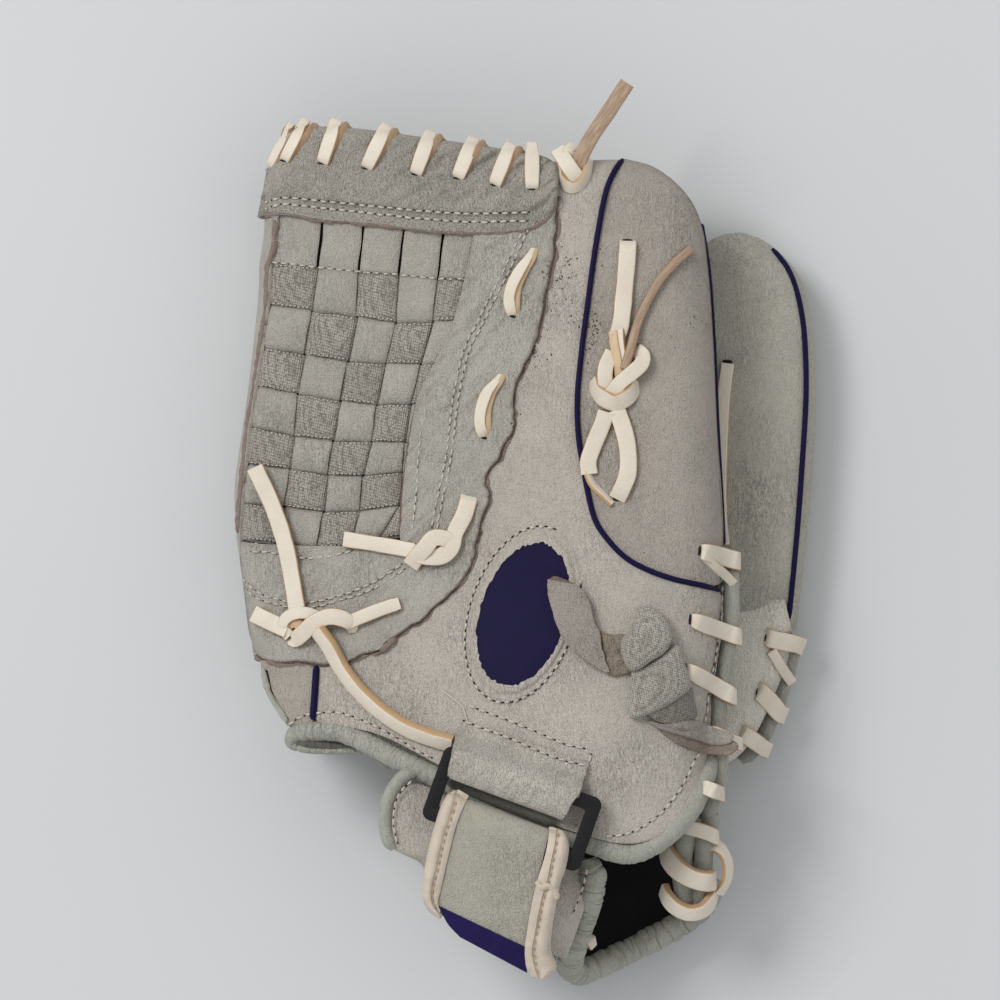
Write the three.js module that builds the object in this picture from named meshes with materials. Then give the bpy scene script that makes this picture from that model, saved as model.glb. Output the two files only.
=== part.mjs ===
import * as THREE from 'three';

// A softball glove lying closed on a table: backs of the fingers down, thumb side up, finger tips
// towards +Y. Millimetres, +Z up, z = 0 is the table.

// Driving sizes.
const GLOVE_LENGTH = 311;
const SHELL_HEIGHT = 72;
const SEAM_HEIGHT = 50;
const THUMB_PALM_HEIGHT = 36;
const STALL_HEIGHT = 26;
const FINGER_PALM_HEIGHT = 28.8;
const LOW_SEAM_HEIGHT = 14;
const WEB_LOW_HEIGHT = 9;
const EDGE_ROLL = 14;
const SEAM_GAP = 3;
const LEATHER = 2.4;
const WEB_LEATHER = 2;
const FOLD_LEATHER = 1.2;
const STALL_WALL = 4;
const GAP = 0.4;

const LACE_WIDTH = 6.3;
const LACE_THICKNESS = 1.6;
const PIPING_RADIUS = 1;
const BINDING_RADIUS = 3.6;
const WEB_ROLL_RADIUS = 3.2;
const HEEL_ROLL_RADIUS = 3;

const RING_LENGTH = 65;
const RING_WIDTH = 27;
const RING_BAR = 4.7;
const RING_THICKNESS = 3.5;
const RING_CLEARANCE = 1.4;
const RING_HEIGHT = SHELL_HEIGHT + RING_CLEARANCE;
const RING_CORNER = 3;
const STRAP_WIDTH = 42;
const STRAP_THICKNESS = 1.8;
const STRAP_BINDING_RADIUS = 1.8;
const STRAP_REACH = 46;
const STRAP_DROP = 6;
const STRAP_SPACE = 7.8;
const TAB_WIDTH = 47;
const TAB_THICKNESS = 1.6;
const HOOK_THICKNESS = 0.8;
const PAD_RISE = 12;
const PAD_CLEARANCE = 4;
const PAD_HEIGHT = SHELL_HEIGHT - PAD_RISE - PAD_CLEARANCE;
const LINING = 1.2;
const HEEL_PAD_HEIGHT = 20;
const HEEL_PAD_RISE = 5.5;
const KNOT_HEIGHT = 5;
const PATCH_LENGTH = 52.5;
const PATCH_WIDTH = 33;
const PATCH_THICKNESS = 1.6;

const HEEL_TURNS = 8;
const WEB_TURNS = 8;
const PINKY_TURNS = 3;

// Plan outlines are pixel places in a square picture of the glove, read from its far left corner.
const BODY_PIXELS = 865;
const MIDDLE_PIXELS = [523, 532];
const RING_PIXELS = [512, 807];
const RING_TURN_DEGREES = -19.5;
const PATCH_PIXELS = [522, 614];
const PATCH_TURN_DEGREES = -72;

const COLOURS = {
  shell: 0xb0aaa3, palm: 0xa0a39b, knit: 0x8c8882, lace: 0xe4dac8, flesh: 0xbe9673,
  navy: 0x262048, binding: 0x80877d, cream: 0xd7c8b4, plastic: 0x28282d, lining: 0x151517,
};

const part = new THREE.Group();

function material(colour) {
  const metalness = 0;
  return new THREE.MeshStandardMaterial({ color: COLOURS[colour], roughness: 0.8, metalness });
}

function add(name, colour, geometry, group = part) {
  const mesh = new THREE.Mesh(geometry, material(colour));
  mesh.name = name;
  group.add(mesh);
  return mesh;
}

function realLength(pixels) {
  return GLOVE_LENGTH * pixels / BODY_PIXELS;
}

function place([u, v], z) {
  return new THREE.Vector3(realLength(u - MIDDLE_PIXELS[0]), realLength(MIDDLE_PIXELS[1] - v), z);
}

// Height of the upper shell: shares of SHELL_HEIGHT on a grid of pixel columns and rows.
const CROWN_COLUMN_PIXELS = [240, 340, 440, 540, 640, 740];
const CROWN_ROW_PIXELS = [120, 270, 420, 570, 720, 870, 1020];
const CROWN_SHARES = [
  [0.64, 0.69, 0.74, 0.78, 0.81, 0.78],
  [0.61, 0.69, 0.76, 0.83, 0.89, 0.86],
  [0.56, 0.65, 0.75, 0.85, 0.93, 0.92],
  [0.53, 0.64, 0.75, 0.86, 0.95, 0.92],
  [0.56, 0.72, 0.86, 0.945, 0.97, 0.89],
  [0.61, 0.78, 0.89, 0.945, 0.945, 0.83],
  [0.61, 0.75, 0.81, 0.83, 0.81, 0.75],
];

// Outer edges, where the shell turns down (thumb side) or up (finger side) to its laced seam.
const THUMB_EDGE_PIXELS = [
  [540, 158], [580, 156], [625, 159], [655, 168], [685, 193], [701, 224], [711, 270],
  [719, 340], [723, 430], [725, 500], [723, 545], [716, 590], [711, 640], [711, 700], [710, 770],
];
const FINGER_EDGE_PIXELS = [
  [255, 640], [262, 700], [290, 745], [340, 790], [385, 830], [405, 880], [440, 925],
  [500, 962], [570, 985], [640, 972], [690, 945], [716, 915], [722, 860], [728, 790],
  [757, 750], [783, 690], [795, 640],
];

function smoothEdge(edge) {
  const curve = new THREE.CatmullRomCurve3(edge.map(([u, v]) => new THREE.Vector3(u, v, 0)));
  return curve.getPoints(6 * edge.length).map((spot) => [spot.x, spot.y]);
}

const THUMB_EDGE = smoothEdge(THUMB_EDGE_PIXELS);
const FINGER_EDGE = smoothEdge(FINGER_EDGE_PIXELS);

function clampIndex(index, list) {
  return Math.max(0, Math.min(list.length - 1, index));
}

function smoothAlong(values, position) {
  const start = Math.min(Math.floor(position), values.length - 2);
  const t = position - start;
  const [a, b, c, d] = [-1, 0, 1, 2].map((step) => values[clampIndex(start + step, values)]);
  const slopeB = (c - a) / 2;
  const slopeC = (d - b) / 2;
  return b + t * (slopeB + t * (3 * (c - b) - 2 * slopeB - slopeC + t * (2 * (b - c) + slopeB + slopeC)));
}

function gridPosition(value, marks) {
  const step = marks[1] - marks[0];
  return Math.max(0, Math.min(marks.length - 1, (value - marks[0]) / step));
}

function crownAt([u, v]) {
  const column = gridPosition(u, CROWN_COLUMN_PIXELS);
  const row = gridPosition(v, CROWN_ROW_PIXELS);
  return SHELL_HEIGHT * smoothAlong(CROWN_SHARES.map((shares) => smoothAlong(shares, column)), row);
}

function distanceTo(edge, [u, v]) {
  let nearest = Infinity;
  for (let i = 1; i < edge.length; i += 1) {
    const [ax, ay] = edge[i - 1];
    const [bx, by] = edge[i];
    const span = (bx - ax) ** 2 + (by - ay) ** 2;
    const share = Math.max(0, Math.min(1, ((u - ax) * (bx - ax) + (v - ay) * (by - ay)) / span));
    nearest = Math.min(nearest, Math.hypot(u - ax - share * (bx - ax), v - ay - share * (by - ay)));
  }
  return realLength(nearest);
}

function rollShare(edge, spot) {
  const inside = Math.min(1, distanceTo(edge, spot) / EDGE_ROLL);
  return Math.sqrt(1 - (1 - inside) ** 2);
}

function rolled(seam, level, edge, spot) {
  return seam + (level - seam) * rollShare(edge, spot);
}

const SURFACES = {
  thumbTop: (spot) => rolled(SEAM_HEIGHT + SEAM_GAP / 2, crownAt(spot), THUMB_EDGE, spot),
  thumbPalm: (spot) => rolled(SEAM_HEIGHT - SEAM_GAP / 2, THUMB_PALM_HEIGHT, THUMB_EDGE, spot),
  fingerPalm: (spot) => rolled(LOW_SEAM_HEIGHT + SEAM_GAP / 2, FINGER_PALM_HEIGHT, FINGER_EDGE, spot),
  fingerBack: (spot) => rolled(LOW_SEAM_HEIGHT - SEAM_GAP / 2, 0, FINGER_EDGE, spot),
  webLow: () => WEB_LOW_HEIGHT,
};

// Solids from rows of points.
function orient(positions, faces) {
  let volume = 0;
  for (const [a, b, c] of faces) {
    volume += positions[a].dot(positions[b].clone().cross(positions[c])) / 6;
  }
  const outward = volume > 0 ? faces : faces.map(([a, b, c]) => [a, c, b]);
  const geometry = new THREE.BufferGeometry().setFromPoints(positions);
  geometry.setIndex(outward.flat());
  geometry.computeVertexNormals();
  return geometry;
}

function between(upper, lower) {
  const rows = upper.length;
  const columns = upper[0].length;
  const count = rows * columns;
  const positions = [...upper.flat(), ...lower.flat()];
  const faces = [];
  const quad = (a, b, c, d) => faces.push([a, b, c], [a, c, d]);
  const at = (row, column) => row * columns + column;
  for (let j = 1; j < rows; j += 1) {
    for (let i = 1; i < columns; i += 1) {
      const [a, b, c, d] = [at(j - 1, i - 1), at(j - 1, i), at(j, i), at(j, i - 1)];
      quad(a, b, c, d);
      quad(d + count, c + count, b + count, a + count);
    }
  }
  const rim = [];
  for (let i = 0; i < columns; i += 1) rim.push(at(0, i));
  for (let j = 1; j < rows; j += 1) rim.push(at(j, columns - 1));
  for (let i = columns - 2; i >= 0; i -= 1) rim.push(at(rows - 1, i));
  for (let j = rows - 2; j > 0; j -= 1) rim.push(at(j, 0));
  rim.forEach((a, index) => {
    const b = rim[(index + 1) % rim.length];
    quad(b, a, a + count, b + count);
  });
  return orient(positions, faces);
}

function gridNormals(grid) {
  return grid.map((row, j) => row.map((point, i) => {
    const along = grid[clampIndex(j + 1, grid)][i].clone().sub(grid[clampIndex(j - 1, grid)][i]);
    const across = row[clampIndex(i + 1, row)].clone().sub(row[clampIndex(i - 1, row)]);
    return across.cross(along).normalize();
  }));
}

// A sheet of one thickness whose outer face is the grid; inward is 1 or -1 along its normals.
function sheet(grid, thickness, inward) {
  const normals = gridNormals(grid);
  const inner = grid.map((row, j) => row.map((point, i) => (
    point.clone().addScaledVector(normals[j][i], inward * thickness))));
  return between(grid, inner);
}

function rail(places) {
  return new THREE.CatmullRomCurve3(places.map(([u, v]) => new THREE.Vector3(u, v, 0)));
}

// Rungs are [left u, left v, right u, right v] in pixels; edgeShare draws columns to the right edge.
function rungGrid(rungs, surface, { lift = 0, across = 5, along = 12, edgeShare = 1 } = {}) {
  const left = rail(rungs.map(([u, v]) => [u, v]));
  const right = rail(rungs.map(([, , u, v]) => [u, v]));
  const grid = [];
  for (let j = 0; j <= along; j += 1) {
    const from = left.getPoint(j / along);
    const to = right.getPoint(j / along);
    const row = [];
    for (let i = 0; i <= across; i += 1) {
      const spot = from.clone().lerp(to, 1 - (1 - i / across) ** edgeShare);
      row.push(place([spot.x, spot.y], surface([spot.x, spot.y]) + lift));
    }
    grid.push(row);
  }
  return grid;
}

function panel(name, colour, surfaceName, rungs, { thickness = LEATHER, facing = 1, ...shape } = {}) {
  const grid = rungGrid(rungs, SURFACES[surfaceName], shape);
  const upward = gridNormals(grid)[1][1].z > 0 ? 1 : -1;
  return add(name, colour, sheet(grid, thickness, -facing * upward));
}

function cushion(name, colour, rungs, bottom, rise, { across = 6, along = 6 } = {}) {
  const lower = rungGrid(rungs, () => bottom, { across, along });
  const upper = lower.map((row, j) => row.map((point, i) => {
    const sides = (2 * i / across - 1) ** 4;
    const ends = (2 * j / along - 1) ** 4;
    return point.clone().setZ(bottom + rise * (0.4 + 0.6 * (1 - sides) * (1 - ends)));
  }));
  return add(name, colour, between(upper, lower));
}

// Rings of equal count, joined in order, each end closed by a fan to its middle.
function loft(rings) {
  const count = rings[0].length;
  const middle = (ring) => ring
    .reduce((sum, point) => sum.add(point), new THREE.Vector3()).multiplyScalar(1 / count);
  const positions = [...rings.flat(), middle(rings[0]), middle(rings[rings.length - 1])];
  const first = rings.length * count;
  const faces = [];
  for (let i = 0; i < count; i += 1) {
    const next = (i + 1) % count;
    for (let j = 1; j < rings.length; j += 1) {
      const [a, b] = [(j - 1) * count + i, (j - 1) * count + next];
      faces.push([a, b, b + count], [a, b + count, a + count]);
    }
    faces.push([first, next, i]);
    faces.push([first + 1, first - count + i, first - count + next]);
  }
  return orient(positions, faces);
}

// A hollow stall, open at its base: rungs run from the base to the tip.
function stall(name, colour, rungs, { sides = 16, steps = 9, bottom = 0, height = STALL_HEIGHT } = {}) {
  const left = rail(rungs.map(([u, v]) => [u, v]));
  const right = rail(rungs.map(([, , u, v]) => [u, v]));
  const roundFromShare = 0.82;
  const squareness = 0.75;
  const ring = (t, inset) => {
    const from = left.getPoint(t);
    const to = right.getPoint(t);
    const tip = t > roundFromShare ? Math.sqrt(1 - ((t - roundFromShare) / (1 - roundFromShare)) ** 2) : 1;
    const centre = place([(from.x + to.x) / 2, (from.y + to.y) / 2], bottom + height / 2);
    const half = place([to.x, to.y], 0).sub(place([from.x, from.y], 0)).multiplyScalar(tip / 2);
    const width = half.length();
    half.normalize().multiplyScalar(width - inset);
    const points = [];
    for (let k = 0; k < sides; k += 1) {
      const angle = 2 * Math.PI * k / sides;
      const across = Math.sign(Math.cos(angle)) * Math.abs(Math.cos(angle)) ** squareness;
      const up = Math.sign(Math.sin(angle)) * Math.abs(Math.sin(angle)) ** squareness;
      const point = centre.clone().addScaledVector(half, across);
      point.z += up * (height / 2 * tip - inset);
      points.push(point);
    }
    return points;
  };
  const lastOuterShare = 0.985;
  const lastInnerShare = 0.93;
  const inner = [];
  const outer = [];
  for (let j = 0; j <= steps; j += 1) {
    const eased = 1 - (1 - j / steps) ** 1.6;
    outer.push(ring(eased * lastOuterShare, 0));
    inner.unshift(ring(eased * lastInnerShare, STALL_WALL));
  }
  add(name, colour, loft([...inner, ...outer]));
  return ring;
}

function tube(name, colour, points, radius, { steps = 24, sides = 8, group = part } = {}) {
  const corners = [];
  for (let k = 0; k < sides; k += 1) {
    const angle = 2 * Math.PI * k / sides;
    corners.push(new THREE.Vector2(radius * Math.cos(angle), radius * Math.sin(angle)));
  }
  const extrudePath = new THREE.CatmullRomCurve3(points);
  const settings = { steps, extrudePath, bevelEnabled: false };
  return add(name, colour, new THREE.ExtrudeGeometry(new THREE.Shape(corners), settings), group);
}

// Places on a surface; a third value on a spot lifts it over what lies below, in lace thicknesses.
function route(pixels, surfaceName, lift) {
  return pixels.map(([u, v, layers = 0]) => (
    place([u, v], SURFACES[surfaceName]([u, v]) + lift + layers * LACE_THICKNESS)));
}

// A flat strip along points; ups give the way its face looks at each point.
function strip(points, ups, width, thickness) {
  const rings = points.map((point, index) => {
    const ahead = points[clampIndex(index + 1, points)];
    const behind = points[clampIndex(index - 1, points)];
    const tangent = ahead.clone().sub(behind).normalize();
    const side = tangent.clone().cross(ups[index]).normalize();
    const up = side.clone().cross(tangent);
    return [[-1, -1], [1, -1], [1, 1], [-1, 1]].map(([across, over]) => point.clone()
      .addScaledVector(side, across * width / 2).addScaledVector(up, over * thickness / 2));
  });
  return loft(rings);
}

function lace(name, colour, points, { steps = 16, width = LACE_WIDTH, thickness = LACE_THICKNESS } = {}) {
  const line = new THREE.CatmullRomCurve3(points).getSpacedPoints(steps);
  const up = new THREE.Vector3(0, 0, 1);
  return add(name, colour, strip(line, line.map(() => up), width, thickness));
}

// A lace that winds round a rolled edge.
function windingLace(name, points, rollRadius, turns, startTurnShare) {
  const path = new THREE.CatmullRomCurve3(points);
  const stepsPerTurn = 10;
  const radius = rollRadius + 2 * GAP + LACE_THICKNESS / 2;
  const line = [];
  const ups = [];
  for (let k = 0; k <= turns * stepsPerTurn; k += 1) {
    const t = k / (turns * stepsPerTurn);
    const tangent = path.getTangentAt(t);
    const side = tangent.clone().cross(new THREE.Vector3(0, 0, 1)).normalize();
    const up = side.clone().cross(tangent);
    const angle = 2 * Math.PI * (k / stepsPerTurn + startTurnShare);
    const away = side.multiplyScalar(Math.sin(angle)).addScaledVector(up, Math.cos(angle));
    line.push(path.getPointAt(t).addScaledVector(away, radius));
    ups.push(away);
  }
  return add(name, 'lace', strip(line, ups, LACE_WIDTH, LACE_THICKNESS));
}

function knot(name, spot, z, [width, length, height], turnDegrees) {
  const rings = [];
  const layers = 7;
  const sides = 12;
  for (let j = 0; j < layers; j += 1) {
    const tilt = Math.PI * (j + 0.4) / (layers - 0.2);
    const ring = [];
    for (let k = 0; k < sides; k += 1) {
      const angle = 2 * Math.PI * k / sides;
      const x = width / 2 * Math.sin(tilt) * Math.cos(angle);
      const y = length / 2 * Math.sin(tilt) * Math.sin(angle);
      ring.push(new THREE.Vector3(x, y, height / 2 * Math.cos(tilt)));
    }
    rings.push(ring);
  }
  const mesh = add(name, 'lace', loft(rings));
  mesh.position.copy(place(spot, z));
  mesh.rotation.z = THREE.MathUtils.degToRad(turnDegrees);
  return mesh;
}

function fingerStalls() {
  stall('index_stall', 'palm', [[290, 640, 408, 640], [330, 480, 425, 480], [372, 300, 452, 300],
    [388, 185, 468, 185]]);
  stall('middle_stall', 'palm', [[413, 640, 530, 640], [430, 480, 530, 480], [457, 300, 553, 300],
    [474, 168, 570, 168]]);
  stall('ring_stall', 'palm', [[535, 640, 655, 640], [535, 480, 640, 480], [558, 300, 660, 300],
    [578, 178, 672, 178]]);
  const pinkyRing = stall('pinky_stall', 'palm', [[660, 636, 798, 630], [648, 500, 811, 500],
    [664, 350, 812, 350], [686, 234, 792, 234]]);
  const seam = [0.03, 0.2, 0.4, 0.6, 0.78, 0.88, 0.94]
    .map((t) => pinkyRing(t, -PIPING_RADIUS - GAP / 2)[1]);
  tube('pinky_piping', 'navy', seam, PIPING_RADIUS, { sides: 6 });
  const laceHeight = STALL_HEIGHT + GAP + LACE_THICKNESS / 2;
  lace('pinky_lace', 'lace', [[727, 364], [720, 440], [721, 512], [725, 545]]
    .map((spot) => place(spot, laceHeight)), { steps: 8 });
}

function fingerSide() {
  panel('finger_back_shell', 'palm', 'fingerBack', [[262, 642, 794.5, 642], [272, 700, 780, 697],
    [300, 750, 757, 750], [350, 797, 729, 790], [390, 842, 722, 860], [420, 900, 715, 915],
    [470, 945, 690, 944], [560, 983, 640, 972]], { facing: -1, across: 10, along: 10 });
  panel('finger_palm_panel', 'palm', 'fingerPalm', [[310, 600, 786, 600], [300, 645, 793.5, 645],
    [330, 690, 783, 690], [380, 740, 758, 748], [430, 790, 729, 785], [520, 830, 720, 822]],
  { across: 9, along: 8, edgeShare: 1.6 });
  cushion('finger_heel_pad', 'lining', [[420, 670, 740, 670], [450, 720, 720, 720], [520, 790, 690, 790]],
    HEEL_PAD_HEIGHT, HEEL_PAD_RISE);
  tube('pinky_heel_roll', 'binding', PINKY_HEEL_PIXELS.map((spot) => place(spot, LOW_SEAM_HEIGHT)),
    HEEL_ROLL_RADIUS);
  windingLace('pinky_heel_lace', PINKY_HEEL_PIXELS.map((spot) => place(spot, LOW_SEAM_HEIGHT)),
    HEEL_ROLL_RADIUS, PINKY_TURNS, 0.1);
}

const PINKY_HEEL_PIXELS = [[808, 646], [805, 668], [795, 707], [778, 746], [758, 769]];
const THUMB_HEEL_PIXELS = [
  [738, 558], [733, 592], [728, 632], [727, 690], [727, 750], [724, 790], [714, 830], [706, 870], [700, 905],
];
const HEEL_LIFT_SHARES = [1, 1, 1, 1, 1, 0.98, 0.9, 0.8, 0.72];

function thumbShell() {
  panel('thumb_back_panel', 'shell', 'thumbTop', [[556, 162, 618, 164], [556, 208, 603, 200],
    [552, 255, 594, 250], [547, 300, 587, 300], [532, 350, 581, 350], [514, 395, 576, 400],
    [503, 445, 579, 445], [490, 475, 587, 483], [483, 530, 611, 527], [472, 565, 657, 571],
    [452, 603, 702, 602], [428, 628, 710, 680], [402, 645, 709, 745], [378, 656, 692, 803],
    [358, 666, 640, 837], [343, 668, 566, 821], [331, 669, 450, 757], [324, 671, 384, 721],
    [320, 690, 336, 707]], { across: 7, along: 26 });
  panel('thumb_outer_panel', 'shell', 'thumbTop', [[621, 161, 625, 159], [613, 180, 655, 168],
    [606, 200, 685, 193], [601, 224, 701, 224], [594, 270, 711, 270], [585, 340, 719, 340],
    [583, 430, 723, 430], [597, 492, 725, 500], [640, 542, 723, 545], [707, 580, 718, 578]],
  { across: 9, along: 20, edgeShare: 1.6 });
  panel('thumb_palm_panel', 'palm', 'thumbPalm', [[560, 164, 640, 163], [556, 180, 685, 193],
    [551, 224, 701, 224], [545, 270, 711, 270], [532, 340, 719, 340], [510, 430, 723, 430],
    [492, 500, 725, 500], [475, 545, 723, 545], [455, 590, 716, 590], [425, 635, 711, 640],
    [405, 675, 711, 700], [425, 720, 710, 765], [485, 770, 688, 805], [565, 815, 655, 830]],
  { facing: -1, across: 9, along: 20, edgeShare: 1.5 });
  cushion('thumb_heel_pad', 'lining', [[470, 640, 660, 640], [460, 700, 664, 700], [540, 780, 650, 780]],
    THUMB_PALM_HEIGHT + LEATHER + GAP, HEEL_PAD_RISE);
  panel('index_gusset', 'shell', 'thumbTop', [[257, 662, 311, 671], [266, 695, 309, 696],
    [280, 721, 306, 712]], { across: 4, along: 4 });
  tube('gusset_piping', 'navy', route([[316, 674], [315, 690], [313, 706]], 'thumbTop', PIPING_RADIUS / 2),
    PIPING_RADIUS, { steps: 4, sides: 6 });
  tube('thumb_piping', 'navy', route([[620, 166], [607, 188], [596, 243], [588.5, 300], [582.5, 350],
    [577.5, 400], [580.5, 445], [588.5, 482], [613, 525.5], [663, 566.5], [708, 590.5]], 'thumbTop',
  PIPING_RADIUS + GAP), PIPING_RADIUS, { steps: 40, sides: 6 });
  tube('thumb_edge_piping', 'navy', THUMB_EDGE_PIXELS.slice(5, 11).map((spot) => place(spot, SEAM_HEIGHT)),
    PIPING_RADIUS, { sides: 6 });
  tube('thumb_wrist_binding', 'binding', route([[290, 750], [302, 728], [340, 721], [388, 737], [440, 769],
    [520, 815], [600, 853], [646, 853], [690, 826]], 'thumbTop', -BINDING_RADIUS), BINDING_RADIUS,
  { steps: 36 });
}

function heelEdge() {
  const line = THUMB_HEEL_PIXELS.map((spot, index) => place(spot, SEAM_HEIGHT * HEEL_LIFT_SHARES[index]));
  tube('thumb_heel_roll', 'binding', line, HEEL_ROLL_RADIUS, { steps: 28 });
  windingLace('thumb_heel_lace', line, HEEL_ROLL_RADIUS, HEEL_TURNS, 0.1);
}

// The web: an upper leg on the thumb, a fold, and a lower leg on the index finger.
const FOLD_PIXELS = [[258, 217], [254, 290], [246, 440], [238, 540], [243, 600], [254, 655]];
const FOLD_DEPTH_PIXELS = 16;
const FOLD_MARGIN_PIXELS = 2;

function webFold() {
  const line = rail(FOLD_PIXELS);
  const rows = 14;
  const columns = 8;
  const grid = [];
  for (let j = 0; j <= rows; j += 1) {
    const spot = line.getPoint(j / rows);
    const top = crownAt([spot.x + FOLD_DEPTH_PIXELS, spot.y]);
    const row = [];
    for (let i = 0; i <= columns; i += 1) {
      const turn = Math.PI * i / columns;
      const u = spot.x + FOLD_DEPTH_PIXELS * (1 - Math.sin(turn));
      row.push(place([u, spot.y], (top + WEB_LOW_HEIGHT) / 2 + (top - WEB_LOW_HEIGHT) / 2 * Math.cos(turn)));
    }
    grid.push(row);
  }
  const outward = gridNormals(grid)[1][columns / 2].x < 0 ? 1 : -1;
  add('web_fold', 'palm', sheet(grid, FOLD_LEATHER, -outward));
}

function web() {
  const inset = FOLD_DEPTH_PIXELS + FOLD_MARGIN_PIXELS;
  const fold = rail(FOLD_PIXELS);
  const foldAt = (v) => {
    let best = fold.getPoint(0);
    fold.getPoints(40).forEach((spot) => {
      if (Math.abs(spot.y - v) < Math.abs(best.y - v)) best = spot;
    });
    return best.x + inset;
  };
  const weave = [[222, 520, 228], [262, 484, 284], [290, 462, 318], [350, 432, 365], [400, 413, 402],
    [450, 406, 460], [500, 402, 510], [538, 398, 541]];
  panel('web_weave', 'palm', 'thumbTop', weave.map(([v, u, w]) => [foldAt(v), v, u, w]),
    { thickness: WEB_LEATHER, across: 8, along: 12 });
  panel('web_border_band', 'palm', 'thumbTop', [[525, 242, 551, 214], [489, 286, 544, 300],
    [467, 320, 527, 350], [437, 367, 507, 395], [418, 404, 495, 445], [411, 460, 483, 480],
    [407, 510, 475, 545], [402, 546, 446, 600], [360, 546, 400, 640], [320, 546, 330, 660],
    [290, 546, 295, 661], [foldAt(546), 546, foldAt(655), 660]],
  { thickness: WEB_LEATHER, across: 5, along: 20 });
  panel('web_top_binding', 'palm', 'thumbTop', [[280, 164, 276, 214], [322, 154, 316, 224],
    [370, 160, 365, 230], [416, 166, 412, 234], [459, 171, 466, 234], [495, 176, 512, 230],
    [538, 183, 548, 208]], { across: 4, along: 10, lift: LEATHER + GAP });
  const roll = [[276, 148], [296, 137], [336, 138], [386, 146], [430, 151], [475, 157], [512, 163],
    [542, 168]].map((spot) => place(spot, crownAt(spot) - LEATHER));
  tube('web_top_roll', 'palm', roll, WEB_ROLL_RADIUS, { steps: 20 });
  windingLace('web_top_lace', roll, WEB_ROLL_RADIUS, WEB_TURNS, 0.1);
  panel('web_lower_leg', 'palm', 'webLow', [[foldAt(218), 218, 383, 218], [foldAt(300), 300, 371, 300],
    [foldAt(440), 440, 338, 440], [foldAt(560), 560, 308, 560], [foldAt(636), 636, 289, 636]],
  { thickness: WEB_LEATHER, across: 3, along: 10 });
  panel('web_lower_binding', 'palm', 'webLow', [[276, 158, 276, 215], [320, 160, 318, 215],
    [380, 164, 376, 215]], { across: 2, along: 4 });
  webFold();
}

const onShell = 2 * GAP + LACE_THICKNESS / 2;

function laces() {
  const onTop = (pixels, lift = onShell) => route(pixels, 'thumbTop', lift);
  lace('web_thumb_lace', 'lace', onTop([[532, 252], [512, 313], [500, 380], [483, 433], [469, 501],
    [455, 540], [430, 550], [400, 548], [344, 538]]), { steps: 24, width: LACE_WIDTH * 0.8 });
  lace('thumb_lace', 'lace', onTop([[628, 244], [624, 290], [620, 332], [618, 380], [603, 425, 1],
    [591, 455, 2], [590, 482, 2], [610, 502, 2], [628, 484], [630, 455]]), { steps: 26 });
  lace('thumb_lace_tail', 'flesh', onTop([[640, 350], [650, 300], [668, 265], [688, 248]]),
    { steps: 8, width: LACE_WIDTH / 2 });
  knot('thumb_lace_knot', [616, 388], crownAt([616, 388]) + KNOT_HEIGHT / 2 + LACE_THICKNESS + 4 * GAP,
    [LACE_WIDTH * 2.4, LACE_WIDTH * 2.2, KNOT_HEIGHT], -20);
  const knotLift = KNOT_HEIGHT / 2 + GAP;
  lace('web_bottom_lace_tail', 'lace', onTop([[262, 470, 0.5], [274, 510, 0.5], [286, 545, 0.5],
    [296, 598, 0.5]]), { steps: 10 });
  knot('web_bottom_lace_knot', [317, 629], crownAt([317, 629]) + KNOT_HEIGHT / 2 + LACE_THICKNESS,
    [LACE_WIDTH * 2.6, LACE_WIDTH * 1.5, KNOT_HEIGHT], 10);
  lace('web_bottom_lace_end', 'lace', onTop([[345, 620, 1], [372, 612, 1], [400, 605, 0.5]]), { steps: 5 });
  lace('web_bottom_lace_start', 'lace', onTop([[258, 626], [272, 627], [288, 628]]), { steps: 4 });
  lace('web_bottom_lace_lead', 'lace', onTop([[338, 650, 1], [357, 683, 1], [396, 714, 0.5], [442, 733]]),
    { steps: 10 });
  const topKnotHeight = SURFACES.thumbTop([571, 172]) + knotLift;
  knot('web_top_lace_knot', [571, 172], topKnotHeight, [LACE_WIDTH * 1.4, LACE_WIDTH * 1.9, KNOT_HEIGHT], 0);
  lace('web_top_lace_tail', 'flesh', [[577, 156], [600, 126], [628, 83]].map((spot) => place(spot, topKnotHeight)),
    { steps: 6, width: LACE_WIDTH * 0.85 });
}

function ovalPatch() {
  const turn = THREE.MathUtils.degToRad(PATCH_TURN_DEGREES);
  const ring = (share, lift) => {
    const points = [];
    const sides = 24;
    for (let k = 0; k < sides; k += 1) {
      const angle = 2 * Math.PI * k / sides;
      const along = share * PATCH_LENGTH / 2 * Math.cos(angle) / realLength(1);
      const across = share * PATCH_WIDTH / 2 * Math.sin(angle) / realLength(1);
      const spot = [PATCH_PIXELS[0] + along * Math.cos(turn) - across * Math.sin(turn),
        PATCH_PIXELS[1] + along * Math.sin(turn) + across * Math.cos(turn)];
      points.push(place(spot, SURFACES.thumbTop(spot) + lift));
    }
    return points;
  };
  const shares = [0.3, 0.65, 1];
  const low = shares.map((share) => ring(share, GAP));
  const high = shares.map((share) => ring(share, GAP + PATCH_THICKNESS)).reverse();
  add('oval_patch', 'navy', loft([...low, ...high]));
}

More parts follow.
